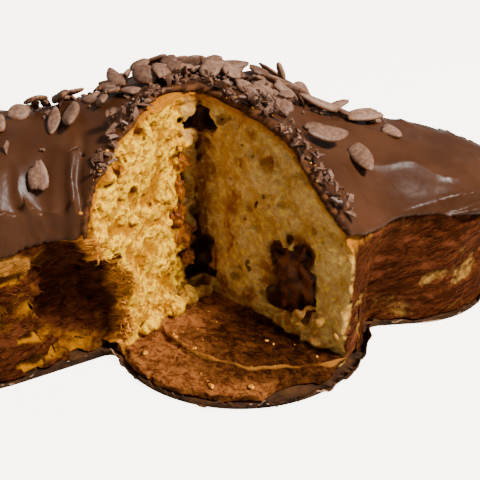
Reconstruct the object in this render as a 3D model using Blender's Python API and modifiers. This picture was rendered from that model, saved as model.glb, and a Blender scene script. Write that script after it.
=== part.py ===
"""A dove-shaped festive cake, coated with chocolate and chocolate flakes, with a wedge cut out.

The cake is four lobes round a heart: a fan tail at -X, a small head at +X and two wings. It was baked
in a paper case, of which the floor and a torn low rim are left. The wedge was cut out of the front wing,
down to the bottom crust. Lengths are in metres, +Z is up, and the origin ends at the middle of the
underside; until then plan places are measured from a point in the front wing.
"""

import math
import random

import bmesh
import bpy
import numpy as np
from mathutils import Matrix, Vector, noise

# Plan of the baked cake: tapered lobes, each from a root circle to a tip circle.
HEART = (-0.018, 0.031)
LOBES = {
    "heart": {"root": HEART, "tip": (-0.016, 0.034), "root_r": 0.050, "tip_r": 0.050},
    "front_wing": {"root": HEART, "tip": (0.000, 0.001), "root_r": 0.044, "tip_r": 0.053},
    "tail": {"root": (-0.035, 0.020), "tip": (-0.114, 0.012), "root_r": 0.022, "tip_r": 0.056},
    "head": {"root": HEART, "tip": (0.072, 0.048), "root_r": 0.036, "tip_r": 0.042},
    "back_wing": {"root": HEART, "tip": (-0.003, 0.090), "root_r": 0.042, "tip_r": 0.050},
}
BASE_BLEND = 0.006
TOP_BLEND = 0.034
TOP_FLARE = 0.0004

# Heights of the baked cake. Each crown has a place, a rise over the shoulder, a fullness (lower is
# rounder) and a span in from the edge over which it rises.
SHOULDER = 0.050
WALL_POWER = 3.0
CROWNS = {
    "tail_corner": {"at": (-0.050, 0.000), "rise": 0.061, "full": 0.48, "span": 0.037},
    "heart": {"at": (-0.022, 0.034), "rise": 0.053, "full": 0.60, "span": 0.050},
    "front_wing": {"at": (0.012, -0.010), "rise": 0.041, "full": 0.98, "span": 0.060},
    "tail": {"at": (-0.112, 0.012), "rise": 0.031, "full": 0.50, "span": 0.045},
    "tail_root": {"at": (-0.080, 0.022), "rise": 0.030, "full": 0.50, "span": 0.045},
    "head_root": {"at": (0.034, 0.042), "rise": 0.035, "full": 0.90, "span": 0.060},
    "head": {"at": (0.080, 0.050), "rise": 0.013, "full": 0.50, "span": 0.034},
    "back_wing": {"at": (-0.002, 0.095), "rise": 0.028, "full": 0.60, "span": 0.048},
}
CROWN_REACH = 0.030
FAR_WEIGHT = 1e-9
WAVE = 0.0011
WAVE_LENGTH = 0.026
WALL_WAVE_LENGTH = 0.3
WALL_WAVE_RISE = 0.03
SLOPE_STEP = 0.002

# Paper case.
PAPER = 0.0008
GAP = 0.0004
RIM_LOW = 0.0016
RIM_TORN = 0.0050
RIM_TORN_LENGTH = 0.11
RIM_LEAN = 0.10

# The wedge that was cut out. Its faces are planes through a corner, roughened where the crumb tore.
CORNER = (-0.0176, 0.0262)
LEFT_FACE = math.radians(-124.0)
RIGHT_FACE = math.radians(-43.0)
LEFT_START = 0.0100
RIGHT_START = 0.0020
CUT_REACH = 0.106
CUT_TOP = 0.125
CUT_STEPS = (12, 12, 13)
ON_EDGE = 0.01
TORN = ((0.0150, 0.0016), (0.0060, 0.0008))
INNER_FLOOR = 0.0085
OUTER_FLOOR = 0.0042
RIDGE_LEFT = 0.030
RIDGE_RIGHT = 0.086
RIDGE_WIDTH = 0.010
FLOOR_WAVE = 0.0007
FLOOR_WAVE_LENGTH = 0.012
FLOOR_WAVE_PLACE = 0.3
BARE_PAPER = {"at": (0.021, -0.0475), "long": 0.0130, "wide": 0.0065, "turn": math.radians(-62.0)}

# Hollows torn into the faces: the face, the way along it, the height, the two half sizes and the depth.
HOLLOWS = (
    ("right", 0.003, 0.086, 0.008, 0.006, 0.007),
    ("right", 0.008, 0.024, 0.010, 0.014, 0.009),
    ("right", 0.0335, 0.0468, 0.005, 0.006, 0.004),
    ("left", 0.050, 0.080, 0.006, 0.006, 0.003),
)

# Chocolate coating with its flakes.
COAT = 0.0021
COAT_EDGE = 0.18
COAT_EDGE_WAVE = 0.08
COAT_EDGE_LENGTH = 0.24
EDGE_SEARCH = (0.6, 1.0)
FLAKE_TRIES = 2600
FLAKE_SEED = 37
FLAKE_LENGTH = (0.015, 0.027)
FLAKE_WIDTH = (0.0070, 0.0110)
FLAKE_THICKNESS = 0.0024
FLAKE_SIDES = 8
FLAKE_BEVEL = 0.84
FLAKE_POINT = 0.30
FLAKE_SINK = 0.0009
FLAKE_TILT = math.radians(13.0)
FLAKE_SPACING = 0.0092
FLAKE_EDGE = 0.016
FLAKE_LINE = 0.070
FLAKE_MIDDLE = (-0.012, 0.044)
FLAKE_REACH = 0.078
FLAKE_FROM_CUT = 0.008
CUT_ROUGHNESS = 0.003

# The flakes that lie round the cut: place, turn in degrees, length, width.
NEAR_FLAKES = (
    (-0.0480, 0.0190, 20.0, 0.026, 0.017),
    (-0.0462, 0.0020, 25.0, 0.024, 0.012),
    (-0.0440, 0.0390, -20.0, 0.017, 0.010),
    (-0.0360, 0.0430, 10.0, 0.022, 0.010),
    (-0.0270, 0.0500, 30.0, 0.022, 0.010),
    (-0.0170, 0.0450, -15.0, 0.025, 0.012),
    (0.0020, 0.0500, 15.0, 0.024, 0.010),
    (0.0090, 0.0340, -28.0, 0.028, 0.012),
    (0.0250, 0.0560, -10.0, 0.026, 0.010),
    (0.0280, 0.0330, 25.0, 0.018, 0.009),
    (-0.0640, 0.0240, 18.0, 0.020, 0.009),
    (-0.0588, 0.0120, 40.0, 0.022, 0.009),
    (-0.0718, -0.0235, 88.0, 0.021, 0.009),
    (-0.0225, 0.0375, 5.0, 0.016, 0.010),
    (-0.0050, 0.0410, 50.0, 0.018, 0.009),
    (-0.0320, 0.0290, 50.0, 0.016, 0.009),
)

# Pieces of fruit baked into the crumb: way along the left face, height, half sizes, turn in degrees.
FRUIT = (
    (0.0098, 0.0700, 0.0034, 0.0036, 0.0038, 20.0),
    (0.0125, 0.0590, 0.0022, 0.0030, 0.0056, -15.0),
    (0.0140, 0.0480, 0.0036, 0.0034, 0.0048, 12.0),
    (0.0105, 0.0365, 0.0064, 0.0042, 0.0050, -25.0),
    (0.0080, 0.0255, 0.0028, 0.0032, 0.0040, 30.0),
)
POCKET_ALONG = 0.0535
POCKET_HEIGHT = 0.0290
POCKET_HALF = (0.0085, 0.0060, 0.0150)
POCKET_LEAN = math.radians(-16.0)
FRUIT_SUNK = 0.001
POCKET_SUNK = 0.0035
LUMP_WAVE = 0.12
LUMP_WAVE_LENGTH = 0.006

ANGLES = 72
CROWN_RINGS = 9
WALL_LEVELS = (0.041, 0.031, 0.019, 0.008)
BASE_ROUND = 0.0016
BISECTIONS = 26
FINE_STEPS = 10
SMOOTH_UP_TO = math.radians(40.0)

# Colour and roughness of each material.
CRUMB_LOOK = ((0.62, 0.36, 0.11), 0.85)
CHOCOLATE_LOOK = ((0.105, 0.045, 0.026), 0.32)
PAPER_LOOK = ((0.055, 0.035, 0.022), 0.8)
PEEL_LOOK = ((0.72, 0.24, 0.02), 0.25)
CARAMEL_LOOK = ((0.30, 0.08, 0.012), 0.15)


def lobe_distance(x, y, lobe, grow):
    """How far a plan point lies outside a tapered lobe, negative inside it."""
    (root_x, root_y), (tip_x, tip_y) = lobe["root"], lobe["tip"]
    root_r = lobe["root_r"] + grow
    tip_r = lobe["tip_r"] + grow
    length = math.hypot(tip_x - root_x, tip_y - root_y)
    way_x, way_y = (tip_x - root_x) / length, (tip_y - root_y) / length
    along = (x - root_x) * way_x + (y - root_y) * way_y
    aside = abs((y - root_y) * way_x - (x - root_x) * way_y)
    taper = (root_r - tip_r) / length
    side = math.sqrt(max(0.0, 1.0 - taper * taper))
    station = along * side - aside * taper
    if station < 0.0:
        return math.hypot(aside, along) - root_r
    if station > side * length:
        return math.hypot(aside, along - length) - tip_r
    return aside * side + along * taper - root_r


def plan_distance(x, y, blend, grow):
    """How far a plan point lies outside the lobes, whose meetings are rounded by the blend."""
    nearest = None
    for lobe in LOBES.values():
        distance = lobe_distance(x, y, lobe, grow)
        if nearest is None:
            nearest = distance
            continue
        overlap = max(blend - abs(nearest - distance), 0.0) / blend
        nearest = min(nearest, distance) - overlap * overlap * blend / 4.0
    return nearest


def plan_radius(angle, blend, grow):
    """The distance from the heart's middle to the outline, in one direction."""
    low, high = 0.0, 0.2
    for _ in range(BISECTIONS):
        middle = (low + high) / 2.0
        x = HEART[0] + middle * math.cos(angle)
        y = HEART[1] + middle * math.sin(angle)
        if plan_distance(x, y, blend, grow) < 0.0:
            low = middle
        else:
            high = middle
    return low


def even_angles(count):
    """Directions from the heart that step evenly along the outline."""
    fine = np.linspace(0.0, math.tau, FINE_STEPS * count + 1)
    blend = (BASE_BLEND + TOP_BLEND) / 2.0
    radii = np.array([plan_radius(angle, blend, 0.0) for angle in fine])
    xs = radii * np.cos(fine)
    ys = radii * np.sin(fine)
    walked = np.concatenate([[0.0], np.cumsum(np.hypot(np.diff(xs), np.diff(ys)))])
    return [float(np.interp(walked[-1] * step / count, walked, fine)) for step in range(count)]


def wave(x, y, z, length):
    """A smooth unevenness between about -1 and 1."""
    return 2.0 * noise.noise(Vector((x, y, z)) / length)


def local_crown(x, y):
    """Rise, fullness and span over a plan point, blended from the crowns near it."""
    total = rise = full = span = 0.0
    for crown in CROWNS.values():
        away = (x - crown["at"][0]) ** 2 + (y - crown["at"][1]) ** 2
        weight = math.exp(-away / (2.0 * CROWN_REACH ** 2)) + FAR_WEIGHT
        total += weight
        rise += weight * crown["rise"]
        full += weight * crown["full"]
        span += weight * crown["span"]
    return rise / total, full / total, span / total


def crown_height(x, y):
    """Height of the crumb's top over a plan point."""
    rise, full, span = local_crown(x, y)
    inset = -plan_distance(x, y, TOP_BLEND, TOP_FLARE)
    share = 1.0 - (1.0 - min(max(inset / span, 0.0), 1.0)) ** 2
    return SHOULDER + rise * share ** full + share * WAVE * wave(x, y, 0.0, WAVE_LENGTH)


def coat_edge_height(edge, angle):
    """Height of the coating's wavy lower edge, a share of the crown's rise over the shoulder."""
    share = COAT_EDGE + COAT_EDGE_WAVE * wave(math.cos(angle), math.sin(angle), 0.7, COAT_EDGE_LENGTH)
    return SHOULDER + share * local_crown(edge.x, edge.y)[0]


def heart_point(radius, angle, height):
    return Vector((HEART[0] + radius * math.cos(angle), HEART[1] + radius * math.sin(angle), height))


def crown_rings(angles):
    """Rings of points from the top of the crown down to the coating's edge."""
    rings = [[] for _ in range(CROWN_RINGS)]
    for angle in angles:
        reach = plan_radius(angle, TOP_BLEND, TOP_FLARE)
        edge_height = coat_edge_height(heart_point(reach, angle, 0.0), angle)
        low, high = EDGE_SEARCH
        for _ in range(BISECTIONS):
            middle = (low + high) / 2.0
            point = heart_point(middle * reach, angle, 0.0)
            if crown_height(point.x, point.y) > edge_height:
                low = middle
            else:
                high = middle
        for index, ring in enumerate(rings):
            part = low * math.sin(math.pi / 2.0 * (index + 1) / CROWN_RINGS)
            point = heart_point(part * reach, angle, 0.0)
            point.z = crown_height(point.x, point.y)
            ring.append(point)
    return rings


def wall_rings(angles):
    """Rings of points from the shoulder down to the foot of the baked wall."""
    rings = []
    for level in (SHOULDER, *WALL_LEVELS):
        ring = []
        for angle in angles:
            foot = plan_radius(angle, BASE_BLEND, 0.0)
            shoulder = plan_radius(angle, TOP_BLEND, TOP_FLARE)
            radius = foot + (shoulder - foot) * (level / SHOULDER) ** WALL_POWER
            if level in WALL_LEVELS[:-1]:
                rise = level / WALL_WAVE_RISE
                radius += WAVE * wave(math.cos(angle), math.sin(angle), rise, WALL_WAVE_LENGTH)
            ring.append(heart_point(radius, angle, level))
        rings.append(ring)
    return rings


def loft(bm, rings, top=None, bottom=None):
    """Skin rings of points that run downwards, with a fan of faces at an end that has a point."""
    rows = [[bm.verts.new(point) for point in ring] for ring in rings]
    count = len(rows[0])
    for upper, lower in zip(rows, rows[1:]):
        for index in range(count):
            after = (index + 1) % count
            bm.faces.new((upper[index], lower[index], lower[after], upper[after]))
    if top is not None:
        peak = bm.verts.new(top)
        for index in range(count):
            bm.faces.new((peak, rows[0][index], rows[0][(index + 1) % count]))
    if bottom is not None:
        floor = bm.verts.new(bottom)
        for index in range(count):
            bm.faces.new((floor, rows[-1][(index + 1) % count], rows[-1][index]))
    return rows


def make_material(name, colour, roughness):
    material = bpy.data.materials.new(name)
    material.use_nodes = True
    shader = material.node_tree.nodes["Principled BSDF"]
    shader.inputs["Base Color"].default_value = (*colour, 1.0)
    shader.inputs["Roughness"].default_value = roughness
    shader.inputs["Metallic"].default_value = 0.0
    return material


def make_object(bm, name, collection, material=None):
    mesh = bpy.data.meshes.new(name)
    bm.to_mesh(mesh)
    bm.free()
    body = bpy.data.objects.new(name, mesh)
    collection.objects.link(body)
    if material is not None:
        mesh.materials.append(material)
    return body


def mark_cutter(body):
    body.hide_render = True
    body.display_type = "WIRE"
    return body


def face_direction(side):
    angle = LEFT_FACE if side == "left" else RIGHT_FACE
    return Vector((math.cos(angle), math.sin(angle), 0.0))


def face_outward(side):
    """The way from the open wedge into the cake, at right angles to one cut face."""
    way = face_direction(side)
    return Vector((way.y, -way.x, 0.0)) if side == "left" else Vector((-way.y, way.x, 0.0))


def face_point(side, along, height):
    return Vector((*CORNER, height)) + face_direction(side) * along


def floor_height(x, y):
    """Height of the crust that is left on the wedge's floor."""
    away = math.hypot(x - CORNER[0], y - CORNER[1])
    turn = math.atan2(y - CORNER[1], x - CORNER[0])
    part = (turn - LEFT_FACE) / (RIGHT_FACE - LEFT_FACE)
    ridge = RIDGE_LEFT + (RIDGE_RIGHT - RIDGE_LEFT) * min(max(part, 0.0), 1.0)
    step = min(max((away - ridge) / RIDGE_WIDTH + 0.5, 0.0), 1.0)
    height = INNER_FLOOR + (OUTER_FLOOR - INNER_FLOOR) * step
    bare_x, bare_y = x - BARE_PAPER["at"][0], y - BARE_PAPER["at"][1]
    cos, sin = math.cos(BARE_PAPER["turn"]), math.sin(BARE_PAPER["turn"])
    across = (bare_x * cos + bare_y * sin) / BARE_PAPER["wide"]
    along = (bare_y * cos - bare_x * sin) / BARE_PAPER["long"]
    if across * across + along * along < 1.0:
        return -2.0 * PAPER
    return height + FLOOR_WAVE * wave(x, y, FLOOR_WAVE_PLACE, FLOOR_WAVE_LENGTH)


def torn_depth(point):
    """How far the torn crumb departs from the plane of the cut."""
    return sum(depth * wave(*point, length) for length, depth in TORN)


def hollow_depth(side, along, height):
    depth = 0.0
    for face, middle, level, half_along, half_up, deepest in HOLLOWS:
        if face == side:
            away = ((along - middle) / half_along) ** 2 + ((height - level) / half_up) ** 2
            depth += deepest * math.exp(-away)
    return depth


def make_wedge(collection):
    """The piece that was cut out: a fine-stepped cube, bent into a wedge with rough faces."""
    bm = bmesh.new()
    bmesh.ops.create_cube(bm, size=1.0, matrix=Matrix.Translation((0.5, 0.5, 0.5)))
    for axis, steps in enumerate(CUT_STEPS):
        lined = [edge for edge in bm.edges
                 if abs(edge.verts[0].co[axis] - edge.verts[1].co[axis]) > 0.5]
        bmesh.ops.subdivide_edges(bm, edges=lined, cuts=steps - 1)
    for vert in bm.verts:
        out, turn, up = vert.co
        start = LEFT_START + (RIGHT_START - LEFT_START) * turn
        away = start + (CUT_REACH - start) * out
        angle = LEFT_FACE + (RIGHT_FACE - LEFT_FACE) * turn
        x = CORNER[0] + away * math.cos(angle)
        y = CORNER[1] + away * math.sin(angle)
        low = floor_height(x, y)
        place = Vector((x, y, low + (CUT_TOP - low) * up))
        push = Vector((0.0, 0.0, 0.0))
        for side, at_edge in (("left", turn < ON_EDGE), ("right", turn > 1.0 - ON_EDGE)):
            if at_edge:
                depth = torn_depth(place) + hollow_depth(side, away, place.z)
                push += face_outward(side) * depth
        if out < ON_EDGE < turn < 1.0 - ON_EDGE:
            push -= Vector((math.cos(angle), math.sin(angle), 0.0)) * torn_depth(place)
        vert.co = place + push
    bmesh.ops.triangulate(bm, faces=bm.faces)
    return mark_cutter(make_object(bm, "wedge_cutter", collection))


def blob(bm, place, half, turn, lean=0.0):
    """A small soft lump: a rough ball, scaled and turned."""
    shape = Matrix.Translation(place) @ Matrix.Rotation(turn, 4, "Z") @ Matrix.Rotation(lean, 4, "Y")
    shape = shape @ Matrix.Diagonal((*half, 1.0))
    made = bmesh.ops.create_icosphere(bm, subdivisions=2, radius=1.0, matrix=shape)
    for vert in made["verts"]:
        away = vert.co - place
        vert.co = place + away * (1.0 + LUMP_WAVE * wave(*vert.co, LUMP_WAVE_LENGTH))


def inlays():
    """Name, place, half sizes, turn and lean of each piece that is baked into the crumb."""
    found = []
    for index, (along, height, *half, turn) in enumerate(FRUIT):
        place = face_point("left", along, height) + face_outward("left") * FRUIT_SUNK
        found.append((f"candied_peel_{index + 1}", place, half, math.radians(turn), 0.0))
    place = face_point("right", POCKET_ALONG, POCKET_HEIGHT) + face_outward("right") * POCKET_SUNK
    found.append(("caramel_pocket", place, POCKET_HALF, RIGHT_FACE, POCKET_LEAN))
    return found


def apply_boolean(body, operation, operand=None, collection=None, solver="EXACT"):
    """Cut or join for good, so that the operands can go."""
    step = body.modifiers.new("cut", "BOOLEAN")
    step.operation = operation
    step.solver = solver
    if operand is not None:
        step.object = operand
    else:
        step.operand_type = "COLLECTION"
        step.collection = collection
    bake(body)


def bake(body):
    """Keep the evaluated mesh and drop the modifiers."""
    graph = bpy.context.evaluated_depsgraph_get()
    mesh = bpy.data.meshes.new_from_object(body.evaluated_get(graph))
    body.modifiers.clear()
    body.data = mesh


def make_crumb(collection, cutters, wedge, rings, walls, top):
    bm = bmesh.new()
    foot = [Vector((point.x, point.y, PAPER + GAP)) for point in walls[-1]]
    middle = Vector((HEART[0], HEART[1], PAPER + GAP))
    foot = [point + (middle - point).normalized() * BASE_ROUND for point in foot]
    loft(bm, [*rings, *walls, foot], top=top, bottom=middle)
    crumb = make_object(bm, "crumb", collection, make_material("baked_crumb", *CRUMB_LOOK))
    apply_boolean(crumb, "DIFFERENCE", operand=wedge, solver="MANIFOLD")
    for name, place, half, turn, lean in inlays():
        socket = bmesh.new()
        blob(socket, place, [size + GAP for size in half], turn, lean)
        cutter = mark_cutter(make_object(socket, f"{name}_socket", cutters))
        apply_boolean(crumb, "DIFFERENCE", operand=cutter)
    return crumb


def flake_places():
    """The flakes round the cut, then others spread over the top, none too near another."""
    spots = [(x, y, math.radians(turn), length, width) for x, y, turn, length, width in NEAR_FLAKES]
    dice = random.Random(FLAKE_SEED)
    for _ in range(FLAKE_TRIES):
        x = dice.uniform(-0.165, 0.110)
        y = dice.uniform(-0.050, 0.140)
        turn = dice.uniform(0.0, math.pi)
        length = dice.uniform(*FLAKE_LENGTH)
        width = dice.uniform(*FLAKE_WIDTH)
        if plan_distance(x, y, TOP_BLEND, TOP_FLARE) > -FLAKE_EDGE:
            continue
        if crown_height(x, y) < FLAKE_LINE:
            continue
        out = math.hypot(x - FLAKE_MIDDLE[0], y - FLAKE_MIDDLE[1]) / FLAKE_REACH
        if dice.random() < out * out:
            continue
        if from_cut(x, y) < FLAKE_FROM_CUT:
            continue
        if all(math.hypot(x - spot[0], y - spot[1]) > FLAKE_SPACING for spot in spots):
            spots.append((x, y, turn, length, width))
    return spots


def from_cut(x, y):
    """How far a plan point is from the open wedge, negative inside it."""
    offset = Vector((x - CORNER[0], y - CORNER[1], 0.0))
    sides = [offset.dot(face_outward(side)) for side in ("left", "right")]
    if max(sides) < 0.0:
        return max(sides)
    reached = [side for side in ("left", "right") if offset.dot(face_direction(side)) > 0.0]
    away = [abs(offset.dot(face_outward(side))) for side in reached]
    return min([*away, offset.length])


def crown_normal(x, y):
    step = SLOPE_STEP
    slope_x = (crown_height(x + step, y) - crown_height(x - step, y)) / (2.0 * step)
    slope_y = (crown_height(x, y + step) - crown_height(x, y - step)) / (2.0 * step)
    return Vector((-slope_x, -slope_y, 1.0)).normalized()


def make_flakes(collection):
    """Thin pointed ovals of chocolate, each settled on the coating with its lowest point sunk in."""
    dice = random.Random(FLAKE_SEED + 1)
    for number, (x, y, turn, length, width) in enumerate(flake_places()):
        normal = crown_normal(x, y)
        bm = bmesh.new()
        bmesh.ops.create_cone(bm, segments=FLAKE_SIDES, radius1=1.0, radius2=FLAKE_BEVEL, depth=1.0,
                              cap_ends=True)
        for vert in bm.verts:
            point = 1.0 - FLAKE_POINT * vert.co.x ** 2
            vert.co = Vector((vert.co.x * length / 2.0, vert.co.y * point * width / 2.0,
                              vert.co.z * FLAKE_THICKNESS))
        lie = normal.to_track_quat("Z", "Y").to_matrix().to_4x4()
        tilt = Matrix.Rotation(dice.uniform(-FLAKE_TILT, FLAKE_TILT), 4, "Y")
        place = Matrix.Translation((x, y, crown_height(x, y))) @ lie @ Matrix.Rotation(turn, 4, "Z") @ tilt
        bm.transform(place)
        backed = [vert.co for vert in bm.verts if from_cut(vert.co.x, vert.co.y) > CUT_ROUGHNESS]
        lowest = min((corner.z - crown_height(corner.x, corner.y)) * normal.z for corner in backed)
        lift = normal * (GAP + COAT - FLAKE_SINK - lowest)
        bmesh.ops.translate(bm, verts=bm.verts, vec=lift)
        make_object(bm, f"flake_{number}", collection)


def make_coating(collection, cutters, wedge, rings, top):
    """The coating lies a gap off the crumb, and the flakes are fused to it."""
    bm = bmesh.new()
    loft(bm, rings, top=top)
    bm.normal_update()
    for vert, lifted in [(vert, vert.co + vert.normal * GAP) for vert in bm.verts]:
        vert.co = lifted
    material = make_material("milk_chocolate", *CHOCOLATE_LOOK)
    coating = make_object(bm, "chocolate_coating", collection, material)
    shell = coating.modifiers.new("thickness", "SOLIDIFY")
    shell.thickness = COAT
    shell.offset = 1.0
    bake(coating)
    flakes = bpy.data.collections.new("flakes")
    bpy.context.scene.collection.children.link(flakes)
    make_flakes(flakes)
    apply_boolean(coating, "UNION", collection=flakes, solver="MANIFOLD")
    for flake in list(flakes.objects):
        bpy.data.objects.remove(flake, do_unlink=True)
    bpy.data.collections.remove(flakes)
    apply_boolean(coating, "DIFFERENCE", operand=wedge, solver="MANIFOLD")
    return coating


def make_paper(collection, angles):
    """A flat floor with a low torn rim."""
    inner_foot, inner_rim, outer_rim, outer_foot = [], [], [], []
    for angle in angles:
        radius = plan_radius(angle, BASE_BLEND, 0.0) + GAP
        torn = 0.5 + 0.5 * wave(math.cos(angle), math.sin(angle), 0.4, RIM_TORN_LENGTH)
        height = PAPER + RIM_LOW + RIM_TORN * min(max(torn, 0.0), 1.0)
        leaning = radius + RIM_LEAN * height
        inner_foot.append(heart_point(radius, angle, PAPER))
        inner_rim.append(heart_point(leaning, angle, height))
        outer_rim.append(heart_point(leaning + PAPER, angle, height))
        outer_foot.append(heart_point(radius + PAPER, angle, 0.0))
    bm = bmesh.new()
    loft(bm, [inner_foot, inner_rim, outer_rim, outer_foot], top=Vector((*HEART, PAPER)),
         bottom=Vector((*HEART, 0.0)))
    return make_object(bm, "paper_case", collection, make_material("baking_paper", *PAPER_LOOK))


def make_inlays(collection):
    peel = make_material("candied_peel", *PEEL_LOOK)
    caramel = make_material("caramel", *CARAMEL_LOOK)
    made = []
    for name, place, half, turn, lean in inlays():
        bm = bmesh.new()
        blob(bm, place, half, turn, lean)
        made.append(make_object(bm, name, collection, caramel if name == "caramel_pocket" else peel))
    return made


def round_shading(body):
    body.data.shade_smooth()
    body.data.set_sharp_from_angle(angle=SMOOTH_UP_TO)


def centre_on_origin(bodies):
    """Bring the middle of the whole cake's underside to the origin."""
    points = np.array([tuple(vert.co) for body in bodies for vert in body.data.vertices])
    low, high = points.min(axis=0), points.max(axis=0)
    middle = Vector(((low[0] + high[0]) / 2.0, (low[1] + high[1]) / 2.0, low[2]))
    for body in bodies:
        body.data.transform(Matrix.Translation(-middle))


def main():
    for old in list(bpy.data.objects):
        bpy.data.objects.remove(old, do_unlink=True)
    cake = bpy.data.collections.new("colomba_cake")
    cutters = bpy.data.collections.new("cutters")
    for collection in (cake, cutters):
        bpy.context.scene.collection.children.link(collection)
    angles = even_angles(ANGLES)
    rings = crown_rings(angles)
    top = Vector((*HEART, crown_height(*HEART)))
    wedge = make_wedge(cutters)
    bodies = [
        make_crumb(cake, cutters, wedge, rings, wall_rings(angles), top),
        make_coating(cake, cutters, wedge, rings, top),
        make_paper(cake, angles),
        *make_inlays(cake),
    ]
    centre_on_origin(bodies)
    for body in bodies:
        round_shading(body)


main()
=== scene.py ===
import math
import random

import bmesh
import bpy
import numpy as np
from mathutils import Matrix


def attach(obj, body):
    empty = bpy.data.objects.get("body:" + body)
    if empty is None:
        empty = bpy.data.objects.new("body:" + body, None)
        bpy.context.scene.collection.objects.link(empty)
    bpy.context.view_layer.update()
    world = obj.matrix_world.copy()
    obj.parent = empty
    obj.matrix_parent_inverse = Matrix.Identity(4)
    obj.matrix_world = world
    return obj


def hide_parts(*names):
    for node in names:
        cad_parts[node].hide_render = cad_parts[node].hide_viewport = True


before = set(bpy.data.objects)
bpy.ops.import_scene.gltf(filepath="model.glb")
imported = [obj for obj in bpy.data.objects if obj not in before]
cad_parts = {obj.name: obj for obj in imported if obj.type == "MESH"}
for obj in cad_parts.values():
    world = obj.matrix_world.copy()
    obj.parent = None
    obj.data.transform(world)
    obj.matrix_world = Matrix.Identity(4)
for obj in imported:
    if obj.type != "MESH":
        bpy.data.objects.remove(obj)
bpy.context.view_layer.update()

import openvdb
from mathutils import Matrix, Vector, noise

# The studio: a plain pale table, one soft lamp high on the right, and a pale room that is brighter
# overhead. The camera looks down on the cut wing at the photograph's angle.
PHOTO_SIZE = 480
FOCAL_PIXELS = 915.0
SENSOR = 36.0
VIEW_ELEVATION = math.radians(28.0)
VIEW_DISTANCE = 0.3696
# The plan's own origin lies here in the frame.
PLAN_SHIFT = Vector((0.02823, -0.04398, 0.0))
AIM = Vector((0.0, 0.0, 0.044)) + PLAN_SHIFT
LAMP_PLACE = Vector((0.74, -0.38, 0.93))
LAMP_SIZE = 0.25
LAMP_POWER = 43.0
LAMP_COLOUR = (1.0, 0.97, 0.92)
TABLE_SIZE = 8.0
TABLE_WHITE = (0.50, 0.49, 0.47, 1.0)
TABLE_ROUGHNESS = 0.9
TABLE_GLOW = 6.0
GLOW_COLOUR = (1.0, 0.93, 0.81, 1.0)
ROOM_COLOUR = (1.0, 0.99, 0.975, 1.0)
# The room's light grows with height, between these values.
ROOM_RISE = {"From Min": -0.1, "From Max": 0.9, "To Min": 0.06, "To Max": 0.74}


def place_camera():
    lens = bpy.data.cameras.new("photo_camera")
    lens.sensor_width = SENSOR
    lens.lens = FOCAL_PIXELS / PHOTO_SIZE * SENSOR
    camera = bpy.data.objects.new("photo_camera", lens)
    bpy.context.scene.collection.objects.link(camera)
    back = Vector((0.0, -math.cos(VIEW_ELEVATION), math.sin(VIEW_ELEVATION)))
    camera.location = AIM + back * VIEW_DISTANCE
    camera.rotation_euler = back.to_track_quat("Z", "Y").to_euler()
    bpy.context.scene.camera = camera


def hang_lamp():
    light = bpy.data.lights.new("key_lamp", "AREA")
    light.size = LAMP_SIZE
    light.energy = LAMP_POWER
    light.color = LAMP_COLOUR
    lamp = bpy.data.objects.new("key_lamp", light)
    bpy.context.scene.collection.objects.link(lamp)
    lamp.location = LAMP_PLACE
    lamp.rotation_euler = (LAMP_PLACE - AIM).to_track_quat("Z", "Y").to_euler()


def lay_table():
    """A pale table that looks evenly white to the camera and lights the cake as a matt one would."""
    bpy.ops.mesh.primitive_plane_add(size=TABLE_SIZE, location=(0.0, 0.0, 0.0))
    table = bpy.context.object
    table.name = "table"
    white = bpy.data.materials.new("table_white")
    white.use_nodes = True
    nodes, links = white.node_tree.nodes, white.node_tree.links
    seen = nodes.new("ShaderNodeLightPath")
    glow = nodes.new("ShaderNodeMath")
    glow.operation = "MULTIPLY"
    glow.inputs[1].default_value = TABLE_GLOW
    links.new(seen.outputs["Is Camera Ray"], glow.inputs[0])
    shader = nodes["Principled BSDF"]
    shader.inputs["Base Color"].default_value = TABLE_WHITE
    shader.inputs["Roughness"].default_value = TABLE_ROUGHNESS
    shader.inputs["Emission Color"].default_value = GLOW_COLOUR
    links.new(glow.outputs[0], shader.inputs["Emission Strength"])
    table.data.materials.append(white)


def paint_room():
    room = bpy.data.worlds.new("pale_room")
    room.use_nodes = True
    nodes, links = room.node_tree.nodes, room.node_tree.links
    sky = nodes["Background"]
    sky.inputs["Color"].default_value = ROOM_COLOUR
    heading = nodes.new("ShaderNodeTexCoord")
    split = nodes.new("ShaderNodeSeparateXYZ")
    overhead = nodes.new("ShaderNodeMapRange")
    for name, value in ROOM_RISE.items():
        overhead.inputs[name].default_value = value
    links.new(heading.outputs["Generated"], split.inputs["Vector"])
    links.new(split.outputs["Z"], overhead.inputs["Value"])
    links.new(overhead.outputs["Result"], sky.inputs["Strength"])
    bpy.context.scene.world = room


place_camera()
hang_lamp()
lay_table()
paint_room()

# The baked loaf: a sweet yeast dough that rose in a dove-shaped paper mould. It is four lobes round a
# heart, with an upright wall and a crown that is highest beside the cut.
HEART = (-0.018, 0.031)
LOBES = (
    (HEART, (-0.016, 0.034), 0.050, 0.050),
    (HEART, (0.000, 0.001), 0.044, 0.053),
    ((-0.035, 0.020), (-0.114, 0.012), 0.022, 0.056),
    (HEART, (0.072, 0.048), 0.036, 0.042),
    (HEART, (-0.003, 0.090), 0.042, 0.050),
)
BASE_BLEND = 0.006
TOP_BLEND = 0.034
TOP_FLARE = 0.0004
SHOULDER = 0.050
WALL_POWER = 3.0
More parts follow.
